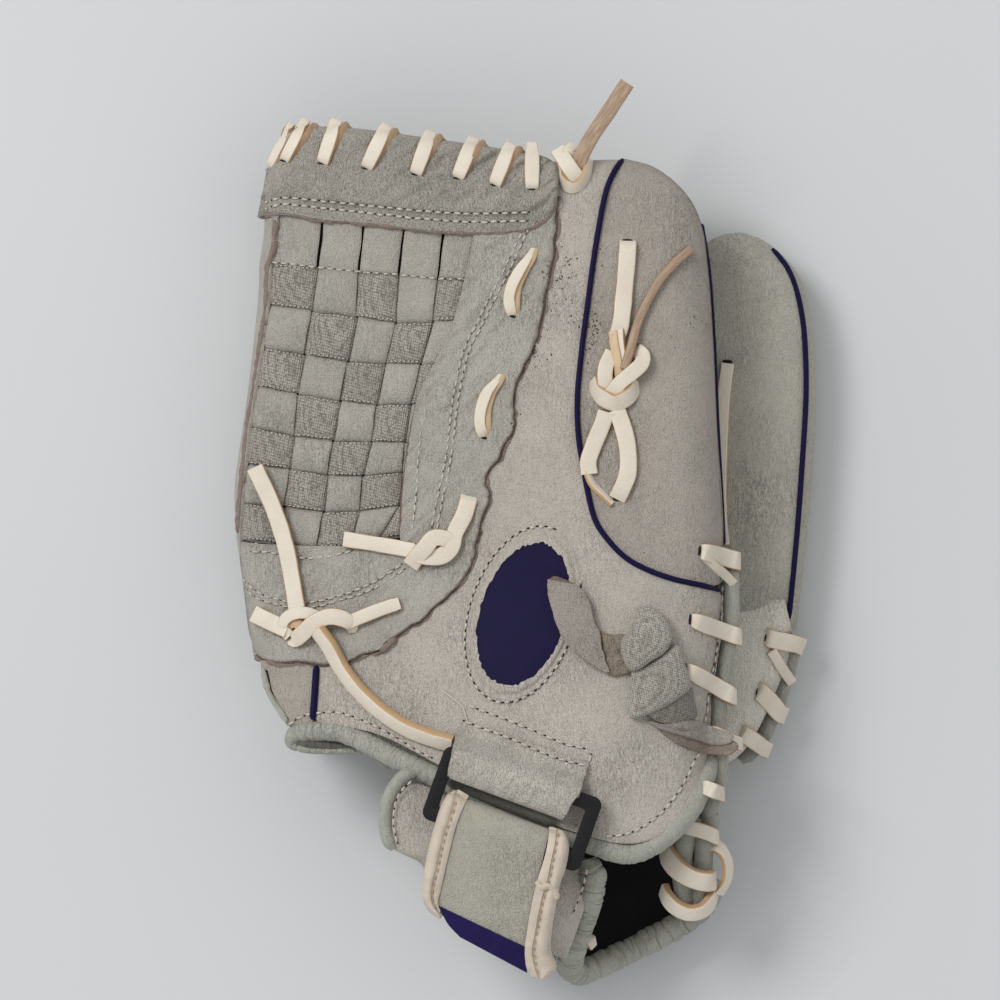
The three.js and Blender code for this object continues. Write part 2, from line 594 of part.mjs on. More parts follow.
// The loop strap of the thumb: a leather tab, two knit lobes and a curled leather end.
function thumbLoop() {
  const raised = { across: 4, along: 6 };
  const overPatch = 2 * (PATCH_THICKNESS + GAP);
  panel('loop_strap_tab', 'shell', 'thumbTop', [[550, 584, 574, 590], [566, 612, 598, 612],
    [584, 640, 612, 636], [602, 668, 626, 664]], { ...raised, thickness: PATCH_THICKNESS, lift: overPatch });
  panel('loop_strap_knit', 'knit', 'thumbTop', [[634, 608, 652, 612], [634, 640, 668, 628],
    [634, 676, 682, 662], [636, 706, 688, 690]], { ...raised, thickness: LEATHER, lift: LEATHER + GAP });
  panel('loop_strap_end', 'shell', 'thumbTop', [[650, 720, 690, 706], [668, 732, 700, 720],
    [686, 742, 706, 733]], { ...raised, thickness: PATCH_THICKNESS, lift: PATCH_THICKNESS + GAP });
}

// The wrist strap stands in the ring's own frame: x along its bars, y towards the pocket.
const ringFrame = new THREE.Group();
ringFrame.position.copy(place(RING_PIXELS, 0));
ringFrame.rotation.z = THREE.MathUtils.degToRad(RING_TURN_DEGREES);
part.add(ringFrame);
const barOffset = (RING_WIDTH - RING_BAR) / 2;
const barMiddle = RING_HEIGHT + RING_THICKNESS / 2;

function roundedBox(width, height, corner) {
  const shape = new THREE.Shape();
  const [x, y] = [width / 2, height / 2];
  shape.absarc(x - corner, y - corner, corner, 0, Math.PI / 2);
  shape.absarc(corner - x, y - corner, corner, Math.PI / 2, Math.PI);
  shape.absarc(corner - x, corner - y, corner, Math.PI, 1.5 * Math.PI);
  shape.absarc(x - corner, corner - y, corner, 1.5 * Math.PI, 2 * Math.PI);
  return shape;
}

function plasticRing() {
  const shape = roundedBox(RING_LENGTH, RING_WIDTH, RING_CORNER);
  shape.holes.push(roundedBox(RING_LENGTH - 2 * RING_BAR, RING_WIDTH - 2 * RING_BAR, RING_CORNER / 2));
  const settings = { depth: RING_THICKNESS, bevelEnabled: false, curveSegments: 3 };
  const mesh = add('strap_ring', 'plastic', new THREE.ExtrudeGeometry(shape, settings), ringFrame);
  mesh.position.z = RING_HEIGHT;
}

// A band as wide as its strap whose profile runs through [y, z] points.
function band(name, colour, profile, width, thickness, offset = 0) {
  const points = profile.map(([y, z]) => new THREE.Vector3(offset, y, z));
  const rings = points.map((point, index) => {
    const ahead = points[clampIndex(index + 1, points)];
    const behind = points[clampIndex(index - 1, points)];
    const tangent = ahead.clone().sub(behind).normalize();
    const up = new THREE.Vector3(0, -tangent.z, tangent.y);
    return [[-1, -1], [1, -1], [1, 1], [-1, 1]].map(([across, over]) => point.clone()
      .add(new THREE.Vector3(across * width / 2, 0, 0)).addScaledVector(up, over * thickness / 2));
  });
  return add(name, colour, loft(rings), ringFrame);
}

const bendRadius = RING_BAR / 2 + 1.5 * GAP + STRAP_BINDING_RADIUS;

function flapProfile() {
  const profile = [];
  const steps = 5;
  for (let k = 0; k <= steps; k += 1) {
    const angle = Math.PI / 2 * k / steps;
    profile.push([-barOffset + bendRadius * Math.cos(angle), barMiddle + bendRadius * Math.sin(angle)]);
  }
  const top = barMiddle + bendRadius;
  const run = STRAP_REACH - barOffset;
  [0.15, 0.35, 0.6, 0.8, 1].forEach((share) => {
    profile.push([-barOffset - share * run, top - STRAP_DROP * share ** 1.5]);
  });
  return profile;
}

function wristStrap() {
  const tabBend = RING_BAR / 2 + 2 * GAP + TAB_THICKNESS / 2;
  const tabRest = SHELL_HEIGHT - TAB_THICKNESS / 2 + GAP;
  const tab = [[barOffset + 8 * TAB_THICKNESS + tabBend, tabRest]];
  tab.push([barOffset + 4 * TAB_THICKNESS, barMiddle + tabBend - TAB_THICKNESS]);
  const steps = 6;
  for (let k = 0; k <= steps; k += 1) {
    const angle = Math.PI / 2 + Math.PI * k / steps;
    tab.push([barOffset + tabBend * Math.cos(angle), barMiddle + tabBend * Math.sin(angle)]);
  }
  band('strap_tab', 'shell', tab, TAB_WIDTH, TAB_THICKNESS);
  plasticRing();
  const flap = flapProfile();
  band('strap_flap', 'shell', flap, STRAP_WIDTH, STRAP_THICKNESS);
  const side = STRAP_WIDTH / 2 + GAP + STRAP_BINDING_RADIUS;
  [['strap_binding_left', -side], ['strap_binding_right', side]].forEach(([name, x]) => {
    const points = flap.slice(5).map(([y, z]) => new THREE.Vector3(x, y, z));
    tube(name, 'cream', points, STRAP_BINDING_RADIUS, { steps: 10, group: ringFrame });
  });
  const lift = (STRAP_THICKNESS + HOOK_THICKNESS) / 2 + GAP;
  const end = flap.slice(-2);
  band('strap_end_band', 'navy', end.map(([y, z]) => [y, z + lift]), STRAP_WIDTH, HOOK_THICKNESS);
  const hook = flap.slice(-4, -1);
  band('hook_patch', 'lining', hook.map(([y, z]) => [y, z - lift]), STRAP_WIDTH * 0.8, HOOK_THICKNESS);
  const under = flap.slice(6).map(([y, z]) => [y - GAP, z - STRAP_SPACE]);
  const [lastY, lastZ] = under[under.length - 1];
  under.push([lastY - STRAP_REACH * 0.2, lastZ - STRAP_DROP]);
  under.push([lastY - STRAP_REACH * 0.28, lastZ - 3 * STRAP_DROP]);
  band('strap_under', 'shell', under, STRAP_WIDTH, STRAP_THICKNESS);
  const loop = under.slice(1, 4);
  band('loop_patch', 'lining', loop.map(([y, z]) => [y, z + lift]), STRAP_WIDTH * 0.8, HOOK_THICKNESS);
}

const PAD_EDGE_PIXELS = [
  [398, 768], [378, 802], [378, 842], [412, 878], [424, 905], [450, 926], [500, 943], [545, 955],
];

function wristParts() {
  cushion('wrist_pad', 'shell', [[406, 780, 440, 792], [391, 805, 560, 850], [391, 840, 596, 866],
    [424, 870, 598, 886], [438, 893, 592, 905], [464, 915, 576, 932]], PAD_HEIGHT, PAD_RISE);
  tube('wrist_pad_binding', 'binding', PAD_EDGE_PIXELS.map((spot) => place(spot, PAD_HEIGHT + BINDING_RADIUS)),
    BINDING_RADIUS);
  const wristEdge = [[553, 971, 0.6], [576, 984, 0.38], [624, 974, 0.34], [675, 950, 0.34], [704, 930, 0.34],
    [716, 905, 0.36]];
  tube('wrist_edge_binding', 'binding', wristEdge.map(([u, v, share]) => place([u, v], share * SEAM_HEIGHT)),
    BINDING_RADIUS, { steps: 18 });
  const top = rail(PAD_EDGE_PIXELS.slice(2));
  const foot = rail([[372, 819], [396, 858], [410, 888], [440, 925], [500, 962], [546, 976]]);
  const rows = 10;
  const columnShares = [0, 0.33, 0.67, 1];
  const grid = [];
  for (let j = 0; j <= rows; j += 1) {
    const low = foot.getPoint(j / rows);
    const high = top.getPoint(j / rows);
    grid.push(columnShares.map((share) => {
      const spot = low.clone().lerp(high, share);
      return place([spot.x, spot.y], THREE.MathUtils.lerp(LOW_SEAM_HEIGHT, PAD_HEIGHT - GAP, share));
    }));
  }
  const outward = gridNormals(grid)[1][1].y < 0 ? 1 : -1;
  add('wrist_wall', 'shell', sheet(grid, LEATHER, -outward));
  panel('hand_lining', 'lining', 'fingerBack', [[520, 800, 676, 800], [500, 850, 672, 850],
    [505, 900, 666, 890], [540, 925, 640, 915]],
  { facing: -1, thickness: LINING, across: 6, along: 6, lift: LEATHER + GAP });
}

fingerStalls();
fingerSide();
thumbShell();
heelEdge();
web();
laces();
ovalPatch();
thumbLoop();
wristStrap();
wristParts();

// The origin is the middle of the resting box.
const box = new THREE.Box3().setFromObject(part);
const middle = box.getCenter(new THREE.Vector3());
part.position.set(-middle.x, -middle.y, -box.min.z);

export default part;
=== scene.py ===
import math
import bpy
import numpy as np
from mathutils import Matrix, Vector


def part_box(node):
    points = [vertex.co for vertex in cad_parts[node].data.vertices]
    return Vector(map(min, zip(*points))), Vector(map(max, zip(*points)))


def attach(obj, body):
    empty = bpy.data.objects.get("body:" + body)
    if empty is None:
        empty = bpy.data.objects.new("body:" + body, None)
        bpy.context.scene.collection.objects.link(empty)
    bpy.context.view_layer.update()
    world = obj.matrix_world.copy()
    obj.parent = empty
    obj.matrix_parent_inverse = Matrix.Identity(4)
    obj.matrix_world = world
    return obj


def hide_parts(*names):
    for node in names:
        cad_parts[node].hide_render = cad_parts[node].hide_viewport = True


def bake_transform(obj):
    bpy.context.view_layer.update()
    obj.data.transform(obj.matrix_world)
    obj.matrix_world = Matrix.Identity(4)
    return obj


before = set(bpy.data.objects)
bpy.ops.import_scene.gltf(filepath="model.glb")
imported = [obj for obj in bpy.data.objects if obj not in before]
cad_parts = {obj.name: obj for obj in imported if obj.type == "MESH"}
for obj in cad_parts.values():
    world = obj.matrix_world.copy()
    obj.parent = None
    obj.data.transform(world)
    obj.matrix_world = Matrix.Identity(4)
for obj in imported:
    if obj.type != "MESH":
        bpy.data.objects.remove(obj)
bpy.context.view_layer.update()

# Plan places are pixels of a square picture of the glove, as in the part's source. Metres elsewhere.
PIXEL = 0.311 / 865
PLAN_MIDDLE = (523.0, 532.0)
RING_PLACE = (512.0, 807.0)
RING_TURN = math.radians(-19.5)
SHELL_HEIGHT = 0.072
SEAM_HEIGHT = 0.050
THUMB_PALM_HEIGHT = 0.036
STALL_HEIGHT = 0.026
FINGER_PALM_HEIGHT = 0.0288
LOW_SEAM_HEIGHT = 0.014
WEB_LOW_HEIGHT = 0.009
EDGE_ROLL = 0.014
SEAM_GAP = 0.003
LEATHER = 0.0024
WEB_LEATHER = 0.002
LACE_WIDTH = 0.0063
LACE_THICKNESS = 0.0018
LACE_SIDES = 16
LACE_WAVER = 0.03
TUBE_END = 0.6
MM = 0.001

ring_low, ring_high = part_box("strap_ring")
ring_middle = (ring_low + ring_high) / 2
SHIFT = (ring_middle.x - (RING_PLACE[0] - PLAN_MIDDLE[0]) * PIXEL,
         ring_middle.y - (PLAN_MIDDLE[1] - RING_PLACE[1]) * PIXEL)

CROWN_COLUMNS = (240, 340, 440, 540, 640, 740)
CROWN_ROWS = (120, 270, 420, 570, 720, 870, 1020)
CROWN_SHARES = np.array((
    (0.64, 0.69, 0.74, 0.78, 0.81, 0.78),
    (0.61, 0.69, 0.76, 0.83, 0.89, 0.86),
    (0.56, 0.65, 0.75, 0.85, 0.93, 0.92),
    (0.53, 0.64, 0.75, 0.86, 0.95, 0.92),
    (0.56, 0.72, 0.86, 0.945, 0.97, 0.89),
    (0.61, 0.78, 0.89, 0.945, 0.945, 0.83),
    (0.61, 0.75, 0.81, 0.83, 0.81, 0.75),
))
THUMB_EDGE = (
    (540, 158), (580, 156), (625, 159), (655, 168), (685, 193), (701, 224), (708, 270), (713, 340),
    (717, 430), (721, 500), (723, 545), (722, 590), (719, 640), (712, 690), (709, 720), (709, 770),
)
FINGER_EDGE = (
    (255, 640), (262, 700), (290, 745), (340, 790), (385, 830), (405, 880), (440, 925), (500, 962),
    (570, 985), (640, 972), (690, 945), (712, 912), (714, 860), (720, 790), (757, 750), (783, 690),
    (795, 640),
)


# Curves and surfaces.
def plan_x(u):
    return (np.asarray(u, float) - PLAN_MIDDLE[0]) * PIXEL + SHIFT[0]


def plan_y(v):
    return (PLAN_MIDDLE[1] - np.asarray(v, float)) * PIXEL + SHIFT[1]


def point_at(u, v, z):
    """The point over a plan place at height z, in metres."""
    return float(plan_x(u)), float(plan_y(v)), float(z)


def points_at(u, v, z):
    """The same for arrays, one point a row."""
    return np.stack([plan_x(u), plan_y(v), z], 1)


def unit(vectors):
    return vectors / np.maximum(np.linalg.norm(vectors, axis=1)[:, None], 1e-9)


def squared(wave, power):
    """A sine or cosine with flatter tops, so that a round section becomes a squarer one."""
    return np.sign(wave) * np.abs(wave) ** power


def distances(line):
    """Distance along a line to each of its points."""
    return np.concatenate([[0], np.cumsum(np.linalg.norm(np.diff(line, axis=0), axis=1))])


def smooth_line(points, count):
    """A smooth open curve through points, given at count places spread evenly over its spans."""
    p = np.asarray(points, float)
    p = np.vstack([2 * p[0] - p[1], p, 2 * p[-1] - p[-2]])
    place = np.linspace(0, len(points) - 1, count)
    i = np.minimum(place.astype(int), len(points) - 2)
    t = (place - i)[:, None]
    a, b, c, d = p[i], p[i + 1], p[i + 2], p[i + 3]
    gap = [np.maximum(np.linalg.norm(q - r, axis=1)[:, None] ** 0.5, 1e-6) for q, r in ((b, a), (c, b), (d, c))]
    before = ((b - a) / gap[0] - (c - a) / (gap[0] + gap[1]) + (c - b) / gap[1]) * gap[1]
    after = ((c - b) / gap[1] - (d - b) / (gap[1] + gap[2]) + (d - c) / gap[2]) * gap[1]
    return b + t * (before + t * (3 * (c - b) - 2 * before - after + t * (2 * (b - c) + before + after)))


def even_line(points, count):
    """The same curve, given at places of equal distance along it."""
    fine = smooth_line(points, 40 * len(points))
    run = distances(fine)
    return np.stack([np.interp(np.linspace(0, run[-1], count), run, fine[:, k]) for k in range(fine.shape[1])], 1)


def smooth_weights(value, marks):
    """The four evenly spaced marks nearest to each value, and their shares in a smooth curve through all marks."""
    place = np.clip((value - marks[0]) / (marks[1] - marks[0]), 0, len(marks) - 1)
    start = np.clip(np.floor(place).astype(int), 0, len(marks) - 2)
    t = place - start
    index = np.clip(start[:, None] + np.array([-1, 0, 1, 2]), 0, len(marks) - 1)
    weights = np.stack([(-t + 2 * t**2 - t**3) / 2, 1 - 2.5 * t**2 + 1.5 * t**3,
                        (t + 4 * t**2 - 3 * t**3) / 2, (t**3 - t**2) / 2], 1)
    return index, weights


def crown(u, v):
    """Height of the upper shell over the plan places u, v."""
    u, v = np.broadcast_arrays(np.asarray(u, float), np.asarray(v, float))
    columns, across = smooth_weights(u.ravel(), CROWN_COLUMNS)
    rows, down = smooth_weights(v.ravel(), CROWN_ROWS)
    shares = CROWN_SHARES[rows[:, :, None], columns[:, None, :]]
    return SHELL_HEIGHT * np.einsum("ni,nj,nij->n", down, across, shares).reshape(u.shape)


def line_distance(line, u, v):
    """Pixels from each plan place to the nearest point of a line of plan places."""
    u, v = np.broadcast_arrays(np.asarray(u, float), np.asarray(v, float))
    spots = np.stack([u.ravel(), v.ravel()], 1)
    nearest = np.full(len(spots), np.inf)
    for a, b in zip(line[:-1], line[1:]):
        span = b - a
        share = np.clip((spots - a) @ span / max(span @ span, 1e-9), 0, 1)
        nearest = np.minimum(nearest, np.linalg.norm(spots - a - share[:, None] * span, axis=1))
    return nearest.reshape(u.shape)


THUMB_LINE = smooth_line(THUMB_EDGE, 90)
FINGER_LINE = smooth_line(FINGER_EDGE, 102)


def rolled(seam, height, line, u, v):
    """That height, brought down to the seam's height in a quarter round beside the line."""
    inside = np.clip((line_distance(line, u, v) - 1) * PIXEL / EDGE_ROLL, 0, 1)
    return seam + (height - seam) * np.sqrt(1 - (1 - inside) ** 2)


def thumb_top(u, v):
    return rolled(SEAM_HEIGHT + SEAM_GAP / 2, crown(u, v), THUMB_LINE, u, v)


def thumb_palm(u, v):
    return rolled(SEAM_HEIGHT - SEAM_GAP / 2, THUMB_PALM_HEIGHT, THUMB_LINE, u, v)


def finger_palm(u, v):
    return rolled(LOW_SEAM_HEIGHT + SEAM_GAP / 2, FINGER_PALM_HEIGHT, FINGER_LINE, u, v)


def finger_back(u, v):
    return rolled(LOW_SEAM_HEIGHT - SEAM_GAP / 2, 0, FINGER_LINE, u, v)


def level(height):
    """A flat surface at that height."""
    return lambda u, v: np.full(np.shape(u), height)


RIPPLE_TABLES = {}


def ripple(x, y, size, seed):
    """Smooth seeded unevenness from -1 to 1, in lumps of about that size."""
    if seed not in RIPPLE_TABLES:
        RIPPLE_TABLES[seed] = np.random.RandomState(seed).uniform(-1, 1, (61, 61))
    table = RIPPLE_TABLES[seed]
    a, b = np.asarray(x) / size, np.asarray(y) / size
    i, j = np.floor(a).astype(int), np.floor(b).astype(int)
    f, g = a - i, b - j
    f, g = f * f * (3 - 2 * f), g * g * (3 - 2 * g)
    near = table[i % 61, j % 61] * (1 - f) + table[(i + 1) % 61, j % 61] * f
    far = table[i % 61, (j + 1) % 61] * (1 - f) + table[(i + 1) % 61, (j + 1) % 61] * f
    return near * (1 - g) + far * g


def creased(u, v, creases):
    """Height of folds in the leather: each crease is (plan places, depth, width in pixels)."""
    height = np.zeros(np.shape(u))
    for places, depth, width in creases:
        away = line_distance(smooth_line(places, 8 * len(places)), u, v) / width
        height += depth * (0.45 * np.exp(-(away - 2) ** 2) - np.exp(-away ** 2))
    return height


# Meshes.
def alone(piece):
    bpy.ops.object.select_all(action="DESELECT")
    piece.select_set(True)
    bpy.context.view_layer.objects.active = piece


def edit(piece, *steps):
    alone(piece)
    bpy.ops.object.mode_set(mode="EDIT")
    bpy.ops.mesh.select_all(action="SELECT")
    for step in steps:
        step()
    bpy.ops.object.mode_set(mode="OBJECT")


def apply(piece, kind, **settings):
    alone(piece)
    modifier = piece.modifiers.new(kind.title(), kind)
    for key, value in settings.items():
        setattr(modifier, key, value)
    bpy.ops.object.modifier_apply(modifier=modifier.name)


def shaped_grid(name, columns, rows, where):
    """A grid whose points where(s, t) places, with s and t from 0 to 1; its UV map keeps s and t."""
    bpy.ops.object.select_all(action="DESELECT")
    bpy.ops.mesh.primitive_grid_add(x_subdivisions=columns, y_subdivisions=rows, size=2)
    piece = bpy.context.object
    piece.name = piece.data.name = name
    co = np.empty(3 * len(piece.data.vertices))
    piece.data.vertices.foreach_get("co", co)
    s, t = (co.reshape(-1, 3)[:, :2].T + 1) / 2
    piece.data.vertices.foreach_set("co", np.ascontiguousarray(where(s, t), float).ravel())
    piece.data.update()
    return piece


def face_to(piece, direction):
    """Turns a sheet's faces over where they look away from that direction."""
    if sum((f.normal * f.area for f in piece.data.polygons), Vector()).dot(Vector(direction)) < 0:
        edit(piece, bpy.ops.mesh.flip_normals)


def merge(piece, *steps, threshold=1e-6):
    """Makes points that lie together one, and goes on with the further steps."""
    edit(piece, lambda: bpy.ops.mesh.remove_doubles(threshold=threshold), *steps)


def close_tube(piece, threshold=1e-6):
    """Joins the two long sides of a grid that was rolled up, and closes its ends."""
    merge(piece, lambda: bpy.ops.mesh.fill_holes(sides=0),
          lambda: bpy.ops.mesh.normals_make_consistent(inside=False), threshold=threshold)


def dress(piece, body, nodes, finish, smooth=40):
    """Gives a finished piece its materials and its body, and hides the CAD parts that it stands for."""
    for material in finish:
        piece.data.materials.append(material)
    alone(piece)
    bpy.ops.object.shade_smooth_by_angle(angle=math.radians(smooth))
    if body:
        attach(piece, body)
    if nodes:
        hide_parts(*([nodes] if isinstance(nodes, str) else nodes))
    return piece


def mark(piece, name, values):
    """A number on each point, for a material to read."""
    (piece.data.attributes.get(name) or piece.data.attributes.new(name, "FLOAT", "POINT")).data.foreach_set(
        "value", np.asarray(values, np.float32))


def thicken(piece, thickness, bevel=0.0004):
    """A wall of that thickness behind the faces, with a cut edge of its own material."""
    apply(piece, "SOLIDIFY", thickness=thickness, offset=-1,
          material_offset_rim=1, material_offset=2)
    if bevel:
        apply(piece, "BEVEL", width=bevel, segments=2, limit_method="ANGLE", angle_limit=math.radians(55))


def panel(name, surface, rungs, columns, rows, thickness=LEATHER, facing=1, lift=0.0, edge_share=1.0, relief=None,
          ragged=(0, 0)):
    """A sheet of leather on a surface. Rungs are (left u, left v, right u, right v).

    An edge_share over 1 crowds the columns towards the right edge, where the leather rolls over. Ragged is how many
    pixels the left and the right edge waver.
    """
    rungs = np.asarray(rungs, float)
    left, right = smooth_line(rungs[:, :2], rows + 1), smooth_line(rungs[:, 2:], rows + 1)
    edge = {}

    def where(s, t):
        j = np.rint(t * rows).astype(int)
        share = 1 - (1 - s) ** edge_share
        u, v = (left[j] + (right[j] - left[j]) * share[:, None]).T
        width = np.maximum(np.linalg.norm(right[j] - left[j], axis=1), 1)
        along = j / rows * np.linalg.norm(np.diff(left, axis=0), axis=1).sum()
        for torn, at_side, side in ((ragged[0], s, 0), (ragged[1], 1 - s, 1)):
            if torn:
                near = np.exp(-at_side * width / 5)
                step = ripple(along, along * 0, 9, 1 + side) + 0.6 * ripple(along, along * 0, 3.5, 6)
                u = u + near * torn * step
        edge["mm"] = np.minimum.reduce([share * width, (1 - share) * width,
                                        t * len(left) * 3, (1 - t) * len(left) * 3]) * PIXEL / MM
        z = surface(u, v) + lift
        if relief:
            z = z + relief(u, v)
        return points_at(u, v, z)

    piece = shaped_grid(name, columns, rows, where)
    face_to(piece, (0, 0, facing))
    mark(piece, "rim", np.exp(-edge["mm"] / 1.5))
    thicken(piece, thickness)
    return piece


def sideways(path, up):
    """Unit vectors to the side and upwards at each point of a path; up is where it roughly looks."""
    tangent = unit(np.gradient(path, axis=0))
    side = unit(np.cross(tangent, up))
    return side, np.cross(side, tangent)


def tube(name, points, radius, steps, sides, uneven=0.0, grooves=0.0, seed=3):
    """A round rod along points; uneven and grooves are the depth of its puckers, as a share of its radius."""
    path = even_line(points, steps + 1)
    side, up = sideways(path, (0, 0, 1.0))
    run = distances(path)

    def where(s, t):
        j = np.rint(t * steps).astype(int)
        angle = 2 * math.pi * s
        closing = np.minimum(1, TUBE_END + (1 - TUBE_END) * np.minimum(run[j], run[-1] - run[j]) / radius)
        r = radius * closing * (1 + uneven * ripple(run[j] / MM, 3 * np.sin(angle), 2.2, seed)
                                + uneven * ripple(run[j] / MM, 2 * np.cos(angle), 5.5, seed + 1))
        if grooves:
            crossing = np.abs(ripple(run[j] / MM, 0.9 * np.sin(angle) + 0.6 * np.cos(angle), 1.5, seed + 2))
            r = r * (1 - grooves * np.exp(-(crossing / 0.2) ** 2))
        return path[j] + side[j] * (np.cos(angle) * r)[:, None] + up[j] * (np.sin(angle) * r)[:, None]

    piece = shaped_grid(name, sides, steps, where)
    close_tube(piece)
    return piece


def ribbon(name, points, ups, width=LACE_WIDTH, thickness=LACE_THICKNESS, steps=60, square=0.35):
    """A flat lace along points, whose face looks along ups. Its UV map runs round it and along it."""
    path = even_line(points, steps + 1)
    ups = np.asarray(ups, float)
    ups = np.tile(ups, (len(points), 1)) if ups.ndim == 1 else ups
    side, up = sideways(path, even_line(np.hstack([np.asarray(points), ups * MM * 0.01]), steps + 1)[:, 3:])
    run = distances(path) / MM
    width = np.interp(np.linspace(0, 1, steps + 1), np.linspace(0, 1, np.size(width)), np.atleast_1d(width))

    def where(s, t):
        j = np.rint(t * steps).astype(int)
        angle = 2 * math.pi * s
        across, rise = squared(np.cos(angle), square), squared(np.sin(angle), square)
        w = width[j] * (1 + LACE_WAVER * ripple(run[j], across * 0, 4, 4)) / 2
        return path[j] + side[j] * (across * w)[:, None] + up[j] * (rise * thickness / 2)[:, None]

    piece = shaped_grid(name, LACE_SIDES, steps, where)
    close_tube(piece)
    return piece


def height_at(surface, u, v):
    return float(surface(np.array([u]), np.array([v]))[0])


def over(surface, places, lift):
    """Points over a surface; a third value on a place lifts it by that many lace thicknesses."""
    return [point_at(*p[:2], height_at(surface, *p[:2]) + lift + (p[2] if len(p) > 2 else 0) * LACE_THICKNESS)
            for p in places]


# Colours are written as they look in daylight, from 0 to 255.
def colour(r, g, b):
    return tuple(((c / 255 + 0.055) / 1.055) ** 2.4 if c > 10 else c / 255 / 12.92 for c in (r, g, b)) + (1,)


class Recipe:
    """A material under construction: nodes are added by kind and joined by name."""

    def __init__(self, name, roughness, sheen=0.0):
        self.material = bpy.data.materials.new(name)
        self.material.use_nodes = True
        self.nodes = self.material.node_tree.nodes
        self.links = self.material.node_tree.links
        self.shader = self.nodes["Principled BSDF"]
        self.shader.inputs["Roughness"].default_value = roughness
        self.shader.inputs["Sheen Weight"].default_value = sheen
        self.place = self.nodes.new("ShaderNodeTexCoord").outputs["Object"]

    def put(self, socket, value):
        if isinstance(value, bpy.types.NodeSocket):
            self.links.new(value, socket)
        else:
            socket.default_value = value

    def node(self, kind, out=0, settings=None, **inputs):
        n = self.nodes.new("ShaderNode" + kind)
        for key, value in (settings or {}).items():
            setattr(n, key, value)
        for key, value in inputs.items():
            self.put(n.inputs[int(key[1:]) if key[0] == "i" and key[1:].isdigit() else key.replace("_", " ")], value)
        return n.outputs[out]

    def noise(self, scale, detail, roughness=0.5, vector=None, distortion=0):
        return self.node("TexNoise", Vector=vector or self.place, Scale=scale, Detail=detail, Roughness=roughness,
                         Distortion=distortion)

    def cells(self, scale, smoothness, vector=None, **inputs):
        return self.node("TexVoronoi", 0, {"feature": "SMOOTH_F1"}, Vector=vector or self.place, Scale=scale,
                         Smoothness=smoothness, **inputs)

    def stretch(self, scale, degrees):
        return self.node("Mapping", Vector=self.place, Scale=scale, Rotation=(0, 0, math.radians(degrees)))

    def range(self, value, low, high, to_low=0.0, to_high=1.0):
        return self.node("MapRange", Value=value, From_Min=low, From_Max=high, To_Min=to_low, To_Max=to_high)

    def mix(self, share, a, b):
        return self.node("Mix", 2, {"data_type": "RGBA"}, i0=share, i6=a, i7=b)

    def sum(self, a, b, kind="ADD"):
        return self.node("Math", 0, {"operation": kind}, i0=a, i1=b)

    def times(self, a, b):
        return self.sum(a, b, "MULTIPLY")

    def tint(self, tone, where, share, paint):
        """Mixes that share of a colour into the tone where the value is high."""
        return self.mix(self.times(where, share), tone, paint)

    def read(self, name):
        return self.node("Attribute", 2, {"attribute_name": name})

    def bump(self, height, depth, normal=None):
        return self.node("Bump", Height=height, Distance=depth, **({"Normal": normal} if normal else {}))

    def done(self, base, normal=None, roughness=None):
        self.put(self.shader.inputs["Base Color"], base)
        if normal:
            self.put(self.shader.inputs["Normal"], normal)
        if roughness is not None:
            self.put(self.shader.inputs["Roughness"], roughness)
        return self.material


LEATHER_ROUGHNESS = 0.66
SOIL_SHARE = 0.3


def leather(name, base, shade, light, grain=1900, depth=0.00022, wrinkles=0.00030, turn=35):
    """Matte cowhide: pebbled grain, fine wrinkles, patches of tone, painted shade in the low places of the grain,
    wrinkles and creases, soil specks, browner worn rims.
    """
    r = Recipe(name, LEATHER_ROUGHNESS, 0.05)
    patches = r.range(r.noise(24, 4, 0.6), 0.3, 0.7)
    mottle = r.range(r.noise(150, 6, 0.7), 0.3, 0.7)
    pebble = r.cells(grain, 0.35)
    worm = r.noise(1500, 2, 0.55, r.stretch((1, 0.38, 0.7), turn), distortion=1.1)
    crease = r.noise(760, 3, 0.6, r.stretch((1, 0.30, 0.7), turn + 25), distortion=1.2)
    zones = r.range(r.noise(28, 2, 0.5), 0.40, 0.75)
    low = r.range(pebble, 0.2, 0.75)
    dark = colour(*(c * 0.62 for c in shade))
    tone = r.mix(patches, colour(*shade), colour(*base))
    tone = r.tint(tone, mottle, 0.5, colour(*light))
    # Painted shade: the grain's hollows, the low places of the wrinkles and the crease lines are darkened towards a
    # darker copy of the shade colour.
    tone = r.tint(tone, low, 0.26, dark)
    tone = r.tint(tone, r.range(worm, 0.5, 0.3), 0.28, dark)
    folds = r.times(r.range(r.sum(r.sum(crease, -0.5), 0.0, "ABSOLUTE"), 0.035, 0.0), zones)
    tone = r.tint(tone, folds, 0.20, dark)
    specks = r.range(r.noise(330, 8, 0.82), 0.60, 0.70)
    smudge = r.range(r.noise(45, 3, 0.5), 0.48, 0.72)
    tone = r.tint(tone, r.times(specks, smudge), SOIL_SHARE, colour(84, 70, 60))
    tone = r.tint(tone, r.read("rim"), 0.30, colour(140, 122, 110))
    normal = r.bump(r.times(low, -1), depth)
    normal = r.bump(worm, wrinkles, normal)
    normal = r.bump(r.times(folds, -1), 0.0002, normal)
    return r.done(tone, normal, r.range(mottle, 0, 1, LEATHER_ROUGHNESS - 0.07, LEATHER_ROUGHNESS + 0.08))


def raw_edge(name, base, dark):
    """A cut edge of leather: rough, fibrous, brown and pink."""
    r = Recipe(name, 0.9)
    fibre = r.noise(1500, 6, 0.8)
    tone = r.mix(r.range(fibre, 0.35, 0.7), colour(*dark), colour(*base))
    return r.done(tone, r.bump(fibre, 0.0006))


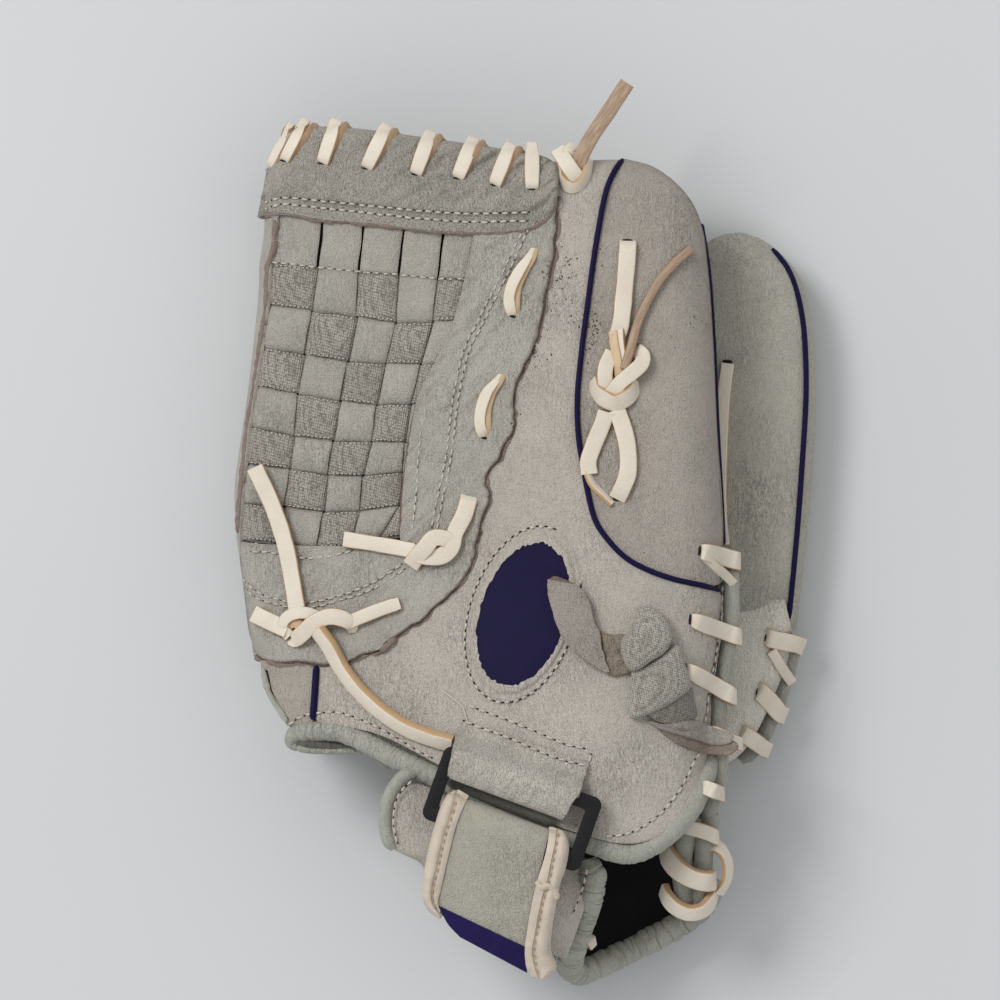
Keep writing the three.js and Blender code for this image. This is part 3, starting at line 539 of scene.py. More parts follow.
def plain(name, base, roughness, grain=1200, depth=0.00012, vary=0.12, shine=0.5):
    """One colour, a little darker here and there, with a fine grain."""
    r = Recipe(name, roughness)
    r.shader.inputs["Specular IOR Level"].default_value = shine
    tone = r.mix(r.range(r.noise(140, 4, 0.6), 0.3, 0.7), colour(*(c * (1 - vary) for c in base)), colour(*base))
    return r.done(tone, r.bump(r.noise(grain, 4, 0.6), depth))


def lace_leather(name, face, edge, back, streaks=0.0):
    """Lace: smooth pale face, tan cut sides, rough tan back. Its UV map runs round the lace."""
    r = Recipe(name, 0.5)
    around = r.node("SeparateXYZ", 0, Vector=r.node("TexCoord", 2))
    height = r.sum(r.times(around, 2 * math.pi), 0.0, "SINE")
    fibre = r.noise(900, 5, 0.7)
    patches = r.range(r.noise(110, 4, 0.6), 0.3, 0.7)
    front = r.tint(colour(*face), patches, 0.6, colour(*(c * 0.93 for c in face)))
    tone = r.mix(r.range(height, 0.45, 0.72), colour(*edge), front)
    tone = r.mix(r.range(height, -0.5, -0.7), tone, colour(*back))
    tone = r.tint(tone, r.range(fibre, 0.55, 0.8), 0.25, colour(150, 118, 88))
    if streaks:
        along = r.noise(1.0, 4, 0.7, r.node("Mapping", Vector=r.node("TexCoord", 2), Scale=(34, 7, 1)))
        tone = r.tint(tone, r.range(along, 0.45, 0.7), streaks, colour(198, 174, 146))
        tone = r.tint(tone, r.range(along, 0.5, 0.3), streaks, colour(136, 106, 80))
    return r.done(tone, r.bump(fibre, 0.00018))


def knit(name, base, dark, pitch):
    """Coarse knit in small slanting loops, with painted shade in the gaps between them."""
    r = Recipe(name, 0.92, 0.2)
    loops = r.cells(1.0, 0.25, r.stretch((1 / pitch, 0.75 / pitch, 1 / pitch), 12), Randomness=0.35)
    fuzz = r.noise(2400, 5, 0.8)
    holes = r.range(loops, 0.2, 0.75)
    # Painted shade: the gaps between the loops take the dark colour.
    tone = r.mix(holes, colour(*base), colour(*dark))
    tone = r.tint(tone, r.range(fuzz, 0.5, 0.8), 0.35, colour(*(min(255, c * 1.2) for c in base)))
    tone = r.tint(tone, r.range(r.noise(60, 3), 0.35, 0.7), 0.2, colour(*dark))
    normal = r.bump(r.times(holes, -1), 0.0004)
    return r.done(tone, r.bump(fuzz, 0.0002, normal))


shell_leather = leather("warm_grey_leather", (203, 195, 184), (182, 175, 163), (212, 203, 193))
# The thumb's leather, darker than the shell's: partly the panel's own tone, partly painted shade on the thumb side that
# slopes away from the light. The index gusset uses it too.
thumb_tone_and_shade_leather = leather("thumb_tone_and_shade_leather", (182, 174, 163), (166, 158, 147), (194, 185, 174), turn=-30, wrinkles=0.0004)
tab_leather = leather("crackled_tab_leather", (212, 206, 193), (190, 184, 172), (226, 219, 207), turn=-15,
                      wrinkles=0.0010)
binding_body = leather("top_binding_leather", (184, 178, 166), (162, 157, 146), (198, 192, 180), turn=-35,
                       wrinkles=0.0010)
web_leather = leather("web_grey_leather", (186, 182, 171), (170, 166, 155), (198, 193, 182), turn=70)
palm_leather = leather("green_grey_leather", (190, 186, 172), (174, 170, 157), (200, 196, 183), turn=15)
# The palm leather again, painted lighter to lift the shade that the thumb casts on the little finger's palm.
palm_painted_lighter = leather("little_finger_palm_painted_lighter", (238, 233, 219), (222, 217, 204), (244, 240, 228), turn=15)
flap_leather = leather("strap_leather", (186, 181, 167), (172, 168, 154), (196, 191, 178), turn=60, wrinkles=0.00024)
suede = leather("loop_suede", (178, 170, 159), (160, 152, 142), (192, 184, 174), grain=2300, depth=0.0003,
                wrinkles=0.0002)
brown_suede = leather("twist_suede", (160, 144, 128), (136, 121, 107), (174, 160, 144), wrinkles=0.0007, turn=-50)
strip_leather = leather("woven_strip_leather", (182, 177, 166), (166, 161, 150), (194, 189, 178), turn=-4)
binding_leather = leather("edge_binding_leather", (172, 172, 160), (156, 156, 145), (184, 184, 172), grain=2200,
                          depth=0.0001, wrinkles=0.0001)
shaded_binding = leather("binding_in_shade", (104, 103, 94), (84, 83, 76), (116, 115, 105), grain=2200, depth=0.0001)
raw_leather = raw_edge("raw_leather_edge", (150, 132, 120), (84, 70, 62))
hem_edge = raw_edge("hem_raw_edge", (166, 148, 136), (122, 106, 96))
torn_edge = raw_edge("torn_web_edge", (136, 118, 106), (58, 47, 42))
flesh_leather = raw_edge("leather_flesh_side", (158, 148, 138), (120, 110, 100))
lace_finish = lace_leather("cream_lace", (226, 215, 198), (190, 156, 116), (170, 134, 104))
flesh_lace_finish = lace_leather("lace_flesh_up", (160, 134, 110), (140, 111, 87), (158, 130, 104), 0.6)
tan_lace_finish = lace_leather("lace_cut_side", (212, 184, 146), (190, 156, 116), (170, 134, 104), 0.3)
brown_lace_finish = lace_leather("lace_turned_over", (172, 140, 110), (150, 116, 88), (150, 116, 90), 0.3)
navy_leather = plain("navy_trim", (23, 16, 58), 0.6, shine=0.12)
ribbon_weave = plain("navy_ribbon", (33, 23, 78), 0.6, 1800, 0.0002, shine=0.15)
knit_finish = knit("grey_knit", (190, 184, 172), (100, 95, 87), 0.00078)
shaded_knit = knit("shaded_knit", (160, 154, 144), (80, 76, 70), 0.00066)
loop_knit = knit("loop_knit", (206, 200, 188), (104, 99, 92), 0.00064)
cream_tape = plain("cream_tape", (213, 199, 182), 0.75, 1500, 0.00025, 0.1)
# Knit for the cut edges of the knit strips and leaves: frayed yarn, partly its own darker colour and partly painted
# shade on those edges.
fringe_with_painted_shade = knit("knit_fringe_painted_shade", (132, 124, 115), (70, 64, 58), 0.0006)
black_plastic = plain("black_moulded_plastic", (16, 16, 18), 0.40, 700, 0.00006, shine=0.3)
black_lining = plain("black_lining", (15, 14, 17), 0.6, 1600, 0.0002, 0.4, shine=0.2)
weave_shadow = plain("weave_shadow", (46, 41, 38), 0.9, shine=0.1)
thread_finish = plain("pale_thread", (206, 199, 186), 0.7, 3000, 0.0001)
tan_thread = plain("tan_thread", (186, 164, 136), 0.8, 3000, 0.0001)
# Painted shade inside needle holes, lace slits and the gusset's fold line.
painted_hole_shade = plain("needle_hole_painted_shade", (46, 41, 38), 0.9, shine=0.1)
soil = plain("soil_specks", (92, 74, 60), 0.95, shine=0.1)


# Photograph's view, stage and light. The camera is far above, so heights hardly shift the plan.
CAMERA_HEIGHT = 6.0
VIEW_WIDTH = 1000 * PIXEL
MIDDLE_HEIGHT = 0.045
SENSOR_WIDTH = 36
LIGHT_PLACE = Vector((-1.8, 1.5, 2.8))
LIGHT_TARGET = Vector((0, 0, 0.03))
camera_data = bpy.data.cameras.new("camera")
camera = bpy.data.objects.new("camera", camera_data)
bpy.context.scene.collection.objects.link(camera)
camera.location = point_at(500, 500, CAMERA_HEIGHT)
camera_data.sensor_width = SENSOR_WIDTH
camera_data.lens = SENSOR_WIDTH * (CAMERA_HEIGHT - MIDDLE_HEIGHT) / VIEW_WIDTH
camera_data.clip_end = 50
bpy.context.scene.camera = camera

bpy.ops.mesh.primitive_plane_add(size=8)
floor = bpy.context.object
floor.name = "floor"
floor_look = Recipe("pale_floor", 0.9)
floor_tone = floor_look.range(floor_look.noise(3, 2), 0.3, 0.7)
floor.data.materials.append(floor_look.done(floor_look.mix(floor_tone, colour(209, 210, 211), colour(212, 213, 214))))

world = bpy.data.worlds.new("soft_room")
bpy.context.scene.world = world
world.use_nodes = True
world.node_tree.nodes["Background"].inputs["Color"].default_value = (0.98, 0.99, 1.0, 1)
world.node_tree.nodes["Background"].inputs["Strength"].default_value = 0.64
bpy.context.scene.view_settings.view_transform = "Standard"

light_data = bpy.data.lights.new("window_light", "AREA")
light_data.size = 1.3
light_data.energy = 62
light = bpy.data.objects.new("window_light", light_data)
bpy.context.scene.collection.objects.link(light)
light.location = LIGHT_PLACE
light.rotation_euler = (LIGHT_TARGET - LIGHT_PLACE).to_track_quat("-Z", "Y").to_euler()

# The web lies on the shell: its wavy edge and its fold decide how high its leather stands.
FOLD = (
    (264, 217), (263, 236), (259, 262), (258, 290), (252, 350), (246, 400), (240, 440), (234, 485), (235, 530),
    (239, 560), (244, 600), (249, 636), (257, 656),
)
FOLD_DEPTH = 16
BAND_LIFT = 0.0022
fold_line = smooth_line(FOLD, 121)
FOLD_EDGE = np.vstack([((300, 116), (281, 136), (268, 165), (262, 190)), fold_line])
BAND_INNER = (
    (476, 219), (471, 250), (465, 277), (458, 306), (446, 340), (430, 372), (417, 400), (411, 430), (406, 462),
    (403, 490), (401, 515), (400, 535), (400, 546), (380, 546), (358, 546), (335, 546), (312, 546), (290, 545),
    (262, 544), (238, 542),
)
BAND_OUTER = (
    (557, 196), (553, 240), (548, 285), (539, 325), (525, 365), (512, 396), (514, 424), (502, 451), (485, 480),
    (491, 498), (480, 522), (475, 550), (463, 579), (438, 604), (405, 630), (371, 652), (340, 663), (305, 663),
    (276, 662), (254, 656.5),
)
band_line = smooth_line(BAND_OUTER, 381)
band_count = np.arange(381)
for size, depth in ((9, 1.2), (4, 0.8), (1.7, 0.7)):
    wave = [ripple(band_count, 0 * band_count, size, 77 + k + int(9 * size)) for k in (0, 1)]
    band_line += np.stack(wave, 1) * depth
band_foot = band_line[300:][::-1]


def band_share(u, v):
    """1 where the leather of the web covers the shell, 0 beyond its edge."""
    beside = np.interp(v, band_line[:320, 1], band_line[:320, 0]) - u
    above = np.interp(u, band_foot[:, 0], band_foot[:, 1]) - v
    share = np.clip(np.minimum(np.where(v > 640, 9, beside), above) / 5 + 0.5, 0, 1)
    return share * share * (3 - 2 * share)


def web_top(u, v):
    """Upper face of the web, down over its fold on the left."""
    u, v = np.broadcast_arrays(np.asarray(u, float), np.asarray(v, float))
    top = thumb_top(u, v)
    top = np.where(v < 215, np.maximum(top, crown(u, v) - 0.002), top) + BAND_LIFT * band_share(u, v)
    x = np.clip((u - np.interp(v, FOLD_EDGE[:, 1], FOLD_EDGE[:, 0])) / FOLD_DEPTH, 0, 1)
    middle = (top + WEB_LOW_HEIGHT) / 2
    return middle + (top - middle) * np.sqrt(1 - (1 - x) ** 2)


# Stitching. Every stitch, hole, slit and speck is a copy of one small ball, drawn out to its size.
bpy.ops.mesh.primitive_uv_sphere_add(segments=8, ring_count=5, radius=1)
grain_ball = bpy.context.object
GRAIN_POINTS = np.array([v.co for v in grain_ball.data.vertices])
GRAIN_FACES = []
for face in grain_ball.data.polygons:  # Blender may start the same face at any corner; here it is the lowest
    corners = list(face.vertices)
    first = corners.index(min(corners))
    GRAIN_FACES.append(corners[first:] + corners[:first])
bpy.data.objects.remove(grain_ball)


def grains(name, spots, body, surface, finish):
    """Small rounded lumps on a surface.

    Each spot is (u, v, direction u, direction v, half length, half width, half height, lift, material).
    """
    u, v, du, dv, long, wide, high, lift, kind = np.asarray(spots, float).T
    size = np.hypot(du, dv) / 1.5
    du, dv = du / size, dv / size
    at = lambda a, b: points_at(a, b, surface(a, b))
    along = unit(at(u + du, v + dv) - at(u - du, v - dv))
    across = at(u - dv, v + du) - at(u + dv, v - du)
    up = np.cross(across, along)
    up *= (np.sign(up[:, 2]) / np.linalg.norm(up, axis=1))[:, None]
    axes = np.stack([along * long[:, None], np.cross(up, along) * wide[:, None], up * high[:, None]], 1)
    points = (at(u, v) + up * lift[:, None])[:, None] + np.einsum("pk,nkj->npj", GRAIN_POINTS, axes)
    count = len(GRAIN_POINTS)
    faces = [tuple(n * count + k for k in f) for n in range(len(u)) for f in GRAIN_FACES]
    mesh = bpy.data.meshes.new(name)
    mesh.from_pydata(points.reshape(-1, 3).tolist(), [], faces)
    mesh.polygons.foreach_set("material_index", np.repeat(kind.astype(int), len(GRAIN_FACES)))
    piece = bpy.data.objects.new(name, mesh)
    bpy.context.scene.collection.objects.link(piece)
    edit(piece, lambda: bpy.ops.mesh.normals_make_consistent(inside=False))
    return dress(piece, body, (), finish, smooth=80)


def stitching(name, rows, body, surface=thumb_top, lift=0.0004, pitch=9.0, stitch=0.72, width=0.0009,
              finish=thread_finish, hole=painted_hole_shade):
    """Rows of thread: a short raised stitch every pitch pixels, with the needle's hole at each end; the hole's finish
    is painted shade unless another is given.
    """
    spots, chance = [], np.random.RandomState(1)
    for row in rows:
        run = np.linalg.norm(np.diff(smooth_line(row, 60), axis=0), axis=1).sum()
        line = even_line(row, max(2, int(round(run / pitch))) + 1)
        step = np.diff(line, axis=0)
        middle = line[:-1] + step / 2 + chance.uniform(-0.35, 0.35, step.shape)
        turn = chance.uniform(-0.12, 0.12, len(step))
        du = step[:, 0] * np.cos(turn) - step[:, 1] * np.sin(turn)
        dv = step[:, 0] * np.sin(turn) + step[:, 1] * np.cos(turn)
        long, one = np.linalg.norm(step, axis=1) * PIXEL, np.ones(len(step))
        spots.append(np.stack([*middle.T, du, dv, long * stitch / 2, one * width / 2, one * width * 0.42,
                               one * lift, 0 * one], 1))
        spots.append(np.stack([*line[1:].T, du, dv, long * (1 - stitch) / 2, one * width * 0.36, one * width * 0.2,
                               one * lift * 0.3, one], 1))
    return grains(name, np.vstack(spots), body, surface, [finish, hole])


def slots(name, lines, body, surface=thumb_top, width=0.0007):
    """Slits in the leather, each from one plan place to another, painted dark as the shade inside them."""
    lines = np.asarray(lines, float)
    middle, step = (lines[:, :2] + lines[:, 2:]) / 2, lines[:, 2:] - lines[:, :2]
    one = np.ones(len(lines))
    spots = np.stack([*middle.T, *step.T, np.linalg.norm(step, axis=1) * PIXEL / 2, one * width, one * 0.0003,
                      one * 0.0001, 0 * one], 1)
    return grains(name, spots, body, surface, [painted_hole_shade])


# Finger side.
STALLS = {
    "index_stall": ((290, 640, 408, 640), (330, 480, 425, 480), (372, 300, 452, 300), (388, 185, 468, 185)),
    "middle_stall": ((413, 640, 530, 640), (430, 480, 530, 480), (457, 300, 553, 300), (474, 168, 570, 168)),
    "ring_stall": ((535, 640, 655, 640), (535, 480, 640, 480), (558, 300, 660, 300), (578, 178, 672, 178)),
    "pinky_stall": ((660, 636, 798, 630), (648, 500, 812, 500), (664, 350, 817, 350), (688, 226, 796, 236)),
}


TIP_START = 0.82
STALL_SQUARENESS = 0.75
SKIN_SHARE = 0.6


def stall_point(rungs, t, angle, inset):
    """Points of a finger stall: t runs from base to tip, angle round it."""
    rungs = np.asarray(rungs, float)
    lines = smooth_line(rungs, 400)
    row = lines[np.clip((t * 399).astype(int), 0, 399)]
    tip = np.where(t > TIP_START, np.sqrt(np.maximum(0, 1 - ((t - TIP_START) / (1 - TIP_START)) ** 2)), 1)
    left = np.stack([plan_x(row[:, 0]), plan_y(row[:, 1])], 1)
    right = np.stack([plan_x(row[:, 2]), plan_y(row[:, 3])], 1)
    half = (right - left) / 2
    width = np.linalg.norm(half, axis=1) * tip - inset
    across, rise = squared(np.cos(angle), STALL_SQUARENESS), squared(np.sin(angle), STALL_SQUARENESS)
    xy = (left + right) / 2 + unit(half) * (across * width)[:, None]
    z = STALL_HEIGHT / 2 + rise * (STALL_HEIGHT / 2 * tip - inset)
    return np.stack([xy[:, 0], xy[:, 1], z], 1)


def finger_stall(name, rungs, seed):
    """A stuffed stall: an outer skin and an open inside, closed at the tip."""
    def where(s, t):
        outside = t < SKIN_SHARE + 0.0001
        run = np.clip(np.where(outside, t / SKIN_SHARE, (1 - t) / (1 - SKIN_SHARE)), 0, 1)
        eased = 1 - (1 - run) ** 1.6
        reach = np.where(outside, eased, eased * 0.93)
        points = stall_point(rungs, reach, 2 * math.pi * s, np.where(outside, 0, 0.004))
        bulge = 0.0006 * ripple(points[:, 0] / MM + 90, points[:, 1] / MM + 90, 11, seed)
        points[:, 2] += np.where(outside, bulge * np.sin(2 * math.pi * s), 0)
        return points

    piece = shaped_grid(name, 48, 120, where)
    close_tube(piece, 2e-5)
    return piece


for number, (stall, rungs) in enumerate(STALLS.items()):
    piece = finger_stall(stall + "_leather", rungs, 20 + number)
    dress(piece, "finger_side", stall, [palm_leather])


def piping(name, points, node, body="thumb_side", steps=120, radius=0.001):
    dress(tube(name, points, radius, steps, 8), body, node, [navy_leather])


seam_share = np.array([0.03, 0.2, 0.4, 0.6, 0.78, 0.9, 0.96])
pinky_seam = stall_point(STALLS["pinky_stall"], seam_share, np.full(7, 0.64), -0.0006)
piping("pinky_seam_piping", pinky_seam, "pinky_piping", "finger_side", 60)
pinky_lace = [point_at(u, v, STALL_HEIGHT + 0.0012) for u, v in
              ((728.5, 363), (725, 390), (722, 440), (721, 512), (724, 545))]
dress(ribbon("pinky_stall_lace", pinky_lace, (0, 0, 1), width=0.0048), "finger_side", "pinky_lace",
      [lace_finish])


def cut(face):
    """The finishes of a cut sheet: its face, its raw edge and its flesh side."""
    return face, raw_leather, flesh_leather


UPPERS, GREENS, WEBS, STRIPS = cut(shell_leather), cut(palm_leather), cut(web_leather), cut(strip_leather)
LININGS = (black_lining,) * 3
WEB_CREASES = (
    (((540, 250), (500, 285), (470, 330)), 0.0005, 4), (((530, 300), (490, 340), (450, 410)), 0.0004, 5),
    (((490, 250), (520, 262), (548, 262)), 0.0005, 3), (((300, 560), (360, 580), (420, 560)), 0.0004, 5),
    (((250, 640), (310, 630), (390, 640)), 0.0004, 4), (((420, 500), (450, 520), (470, 560)), 0.0004, 4),
)

piece = panel("hand_back_leather", finger_back, (
    (262, 642, 794.5, 642), (268, 695, 778, 697), (296, 732, 748, 750), (345, 740, 714, 784), (396, 764, 704, 820),
    (420, 860, 704, 880), (474, 936, 674, 926), (578, 964, 632, 950)), 90, 70, facing=-1)
dress(piece, "finger_side", "finger_back_shell", GREENS)
# The finger palm panel takes the palm leather painted lighter, against the thumb's shade on it.
piece = panel("finger_palm_leather", finger_palm, (
    (310, 600, 786, 600), (300, 645, 793.5, 645), (330, 690, 778, 690), (380, 740, 748, 748), (430, 785, 714, 780),
    (520, 820, 702, 812)), 90, 50, edge_share=1.6, relief=lambda u, v: -0.0036 * np.clip((655 - v) / 50, 0, 1) ** 2)
dress(piece, "finger_side", "finger_palm_panel", cut(palm_painted_lighter))


def cushion(name, rungs, bottom, rise, seed, dip=None):
    """A pad with a crowned top and drawn-in sides."""
    rungs = np.asarray(rungs, float)
    left, right = smooth_line(rungs[:, :2], 31), smooth_line(rungs[:, 2:], 31)

    def where(s, t):
        under = t > 0.5
        run = np.where(under, 2 - 2 * t, 2 * t)
        j = np.clip(np.rint(run * 30).astype(int), 0, 30)
        u, v = (left[j] + (right[j] - left[j]) * s[:, None]).T
        sides, ends = np.abs(2 * s - 1) ** 4, np.abs(2 * run - 1) ** 4
        crown_height = rise * (0.4 + 0.6 * (1 - sides) * (1 - ends)) + 0.0004 * ripple(u, v, 30, seed)
        if dip:
            crown_height = crown_height - dip(u, v)
        return points_at(u, v, bottom + np.where(under, 0, crown_height))

    piece = shaped_grid(name, 30, 60, where)
    merge(piece)
    return piece


def heel_line(places, heights):
    """Points from plan places and a height for each."""
    return [point_at(u, v, height) for (u, v), height in zip(places, heights)]


def roll(name, points, radius, steps, sides=16, node=(), body="thumb_side", finish=binding_leather, **shape):
    """A rolled edge or binding."""
    dress(tube(name, points, radius, steps, sides, **shape), body, node, [finish])


PINKY_HEEL = ((794, 640), (791, 662), (783, 690), (771, 721), (757, 747), (741, 762))
THUMB_HEEL = (
    (730, 566), (731, 592), (731, 615), (728, 645), (724, 672), (719, 700), (717, 728), (720, 752), (719, 778),
    (711, 802), (706, 822),
)
HEEL_END_INNER = ((697, 816), (686, 838), (683, 862), (683, 886), (686, 910))
HEEL_END_OUTER = ((713, 812), (706, 836), (703, 862), (702, 886), (700, 909))
HEEL_ROWS, HEEL_HEIGHTS = (560, 780, 830, 870, 910), (0.0500, 0.0490, 0.0450, 0.0410, 0.0375)


def heel_height(v):
    """Height of the thumb side's heel edge at a row of the plan."""
    return np.interp(v, HEEL_ROWS, HEEL_HEIGHTS)


def bent_lace(places, up, width, steps=40, **shape):
    """A stretch of lace through (u, v, height in metres)."""
    return ribbon("strand", [point_at(*place) for place in places], up, width=width, steps=steps, **shape)


def heel_lace(start, end, width=LACE_WIDTH):
    """Lace out of its slot in the shell, down over the rolled heel edge and under it."""
    (u0, v0), (u1, v1) = start, end
    spots = [(u0, v0, float(thumb_top(u0, v0)) - 0.0014)]
    for share in (0.08, 0.3, 0.5):
        u, v = u0 + (u1 - u0) * share, v0 + (v1 - v0) * share
        spots.append((u, v, float(thumb_top(u, v)) + 0.0013))
    low = float(heel_height(v1))
    for share, lift in ((0.80, 0.0046), (0.92, 0.0040), (1.0, 0.0012), (0.97, -0.0030), (0.7, -0.0046)):
        spots.append((u0 + (u1 - u0) * share, v0 + (v1 - v0) * share, low + lift))
    ups = ((-1, 0, 0.1), (-0.3, 0, 1), (0, 0, 1), (0.2, 0, 1), (0.3, 0, 1), (0.8, 0, 0.8), (1, 0, 0), (0.7, 0, -0.7),
           (0, 0, -1))
    return bent_lace(spots, ups, (width * 0.6, width * 0.95) + (width,) * 10, 48)


pinky_heel = heel_line(PINKY_HEEL, [LOW_SEAM_HEIGHT] * 6)
thumb_heel = heel_line(THUMB_HEEL, [float(heel_height(v)) for _, v in THUMB_HEEL])
roll("pinky_heel_edge", pinky_heel, 0.0032, 90, node="pinky_heel_roll", body="finger_side", uneven=0.05)
roll("thumb_heel_edge", thumb_heel, 0.0030, 200, node="thumb_heel_roll", uneven=0.05)
for name, line in (("thumb_heel_end_inner", HEEL_END_INNER), ("thumb_heel_end_outer", HEEL_END_OUTER)):
    roll(name, heel_line(line, [float(heel_height(v)) for _, v in line]), 0.0037, 80, 18, uneven=0.05, seed=12)
piece = cushion("finger_heel_felt", ((420, 670, 740, 670), (450, 720, 720, 720), (520, 790, 690, 790)),
                0.020, 0.0055, 7)
dress(piece, "finger_side", "finger_heel_pad", [black_lining])
piece = cushion("thumb_heel_felt", ((470, 640, 660, 640), (460, 700, 664, 700), (540, 780, 650, 780)),
                THUMB_PALM_HEIGHT + LEATHER + 0.0004, 0.0055, 8)
dress(piece, "thumb_side", "thumb_heel_pad", [black_lining])

# Thumb side shell.
piece = panel("thumb_back_leather", thumb_top, (
    (553, 162, 619, 160), (543, 208, 603, 200), (539, 255, 594, 250), (533, 300, 587, 300), (517, 350, 581, 350),
    (499, 395, 577, 400), (488, 445, 579, 445), (472, 475, 584, 472), (466, 520, 596, 522), (458, 555, 625, 557),
    (444, 585, 673, 579), (424, 607, 720, 593), (414, 614, 718, 625), (405, 622, 713, 670), (386, 634, 708, 745),
    (362, 645, 694, 805), (344, 652, 641, 841), (331, 656, 566, 828), (322, 660, 450, 770), (316, 668, 384, 736),
    (314, 692, 350, 727), (313.5, 712, 318, 722)), 110, 230)
dress(piece, "thumb_side", "thumb_back_panel", UPPERS)
piece = panel("thumb_outer_leather", thumb_top, (
    (621, 161, 625, 159), (613, 180, 655, 168), (606, 200, 685, 193), (601, 224, 701, 224), (594, 270, 708, 270),
    (582, 340, 713, 340), (579, 430, 717, 430), (588, 495, 721, 485), (610, 541, 723, 522), (650, 569, 723, 552),
    (713, 586, 723, 582)), 60, 150, edge_share=1.6)
dress(piece, "thumb_side", "thumb_outer_panel", cut(thumb_tone_and_shade_leather))
piece = panel("thumb_palm_leather", thumb_palm, (
    (560, 164, 640, 163), (556, 180, 685, 193), (551, 224, 701, 224), (545, 270, 708, 270), (532, 340, 713, 340),
    (510, 430, 717, 430), (492, 500, 721, 500), (475, 545, 723, 545), (455, 590, 722, 590), (425, 635, 719, 640),
    (405, 675, 711, 700), (425, 720, 709, 765), (485, 770, 688, 805), (565, 815, 655, 830)), 60, 120,
    facing=-1, edge_share=1.5)
dress(piece, "thumb_side", "thumb_palm_panel", GREENS)
piece = panel("index_gusset_leather", thumb_top, ((260, 661, 316, 660), (264, 688, 315, 688),
                                                  (287, 726, 313, 724)), 30, 40)
dress(piece, "thumb_side", "index_gusset", cut(thumb_tone_and_shade_leather))

piping("gusset_seam_piping", over(thumb_top, ((316.5, 666), (315, 690), (312.8, 719.5)), 0.0007), "gusset_piping",
       steps=24, radius=0.00125)
piping("thumb_seam_piping", over(thumb_top, (
    (622.5, 160), (616, 169), (607, 188), (596, 243), (588, 300), (581.5, 350), (577, 400), (578.5, 440), (583, 467),
    (588, 495), (595.7, 522), (607, 539), (624, 556.5), (643.5, 568), (672, 578.5), (701, 585), (719, 590)), 0.0007),
    "thumb_piping")
piping("thumb_edge_seam_piping", heel_line(THUMB_EDGE[5:11], [SEAM_HEIGHT] * 6), "thumb_edge_piping")
roll("wrist_opening_binding", over(thumb_top, (
    (289, 740), (299, 733), (318, 730), (338, 731), (354, 736), (372, 745), (396, 758), (420, 769), (446, 780),
    (482, 797), (520, 815, -0.5), (560, 832, -1.1), (592, 842, -0.4), (609, 849), (628, 852), (644, 848),
    (666, 834), (690, 808), (703, 780), (708, 756)), -0.0033), 0.0040, 900, 24, "thumb_wrist_binding",
    uneven=0.03, grooves=0.06)


# Web.
def fold_at(v, inset=18):
    """Plan place of the fold of the web at a row, a little inwards."""
    return float(np.interp(v, fold_line[:, 1], fold_line[:, 0])) + inset


FOLD_RAW = (
    (275.5, 220), (273, 250), (268.5, 266), (266, 305), (260, 347), (254, 386), (247.5, 426), (243.5, 464),
    (239.8, 503), (238, 532),
)


def web_fold_where(s, t):
    j = np.rint(t * 120).astype(int)
    u, v = fold_line[j].T
    top = crown(u + FOLD_DEPTH, v) + BAND_LIFT
    raw = np.interp(v, [spot[1] for spot in FOLD_RAW], [spot[0] for spot in FOLD_RAW])
    first = np.arcsin(1 - np.clip((raw + 1.5 - u) / FOLD_DEPTH, 0, 1))
    turn = first + (math.pi - first) * s
    place = u + FOLD_DEPTH * (1 - np.sin(turn))
    height = (top + WEB_LOW_HEIGHT) / 2 + (top - WEB_LOW_HEIGHT) / 2 * np.cos(turn)
    return points_at(place, v, height)


def bend_with_pocket(piece):
    """Bakes the piece's placement into its points; the piece is attached to neither half of the glove."""
    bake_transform(piece)


piece = shaped_grid("web_fold_leather", 24, 120, web_fold_where)
face_to(piece, (-1, 0, 0))
thicken(piece, 0.0012, 0)
dress(piece, None, "web_fold", WEBS)
bend_with_pocket(piece)

INDEX_SIDE = smooth_line(((261, 668), (265, 685), (272, 705), (288, 732)), 41)


def index_side_where(s, t):
    """Soft leather between the two halves at the index finger, puffed outwards between them."""
    j = np.rint(t * 40).astype(int)
    u, v = INDEX_SIDE[j].T
    top = thumb_top(u + 9, v) - 0.004
    foot = LOW_SEAM_HEIGHT - 0.003
    return points_at(u + 8 - 5 * np.sin(math.pi * s), v - 3, foot + (top - foot) * s)


piece = shaped_grid("index_side_leather", 24, 40, index_side_where)
face_to(piece, (-1, 0, 0))
thicken(piece, 0.0016, 0)
dress(piece, None, (), GREENS)
bend_with_pocket(piece)

weave = ((222, 520, 228), (262, 484, 284), (290, 462, 318), (350, 432, 365), (400, 413, 402), (450, 406, 460),
         (500, 402, 510), (538, 398, 541))
piece = panel("web_weave_backing", lambda u, v: web_top(u, v) - 0.0036,
              [(fold_at(v, 9), v, u, w) for v, u, w in weave], 40, 60, 0.0012)
dress(piece, "thumb_side", "web_weave", cut(weave_shadow))
band_left, band_right = smooth_line(BAND_INNER, 381)[::5], band_line[::5]
piece = panel("web_border_leather", lambda u, v: web_top(u, v) + 0.0002, np.hstack([band_left, band_right]), 60, 380,
              0.0018, relief=lambda u, v: 0.0005 * ripple(u, v, 16, 61) + 0.0003 * ripple(u + v, (u - v) * 0.3, 6, 62)
              + creased(u, v, WEB_CREASES))
dress(piece, "thumb_side", "web_border_band", WEBS)


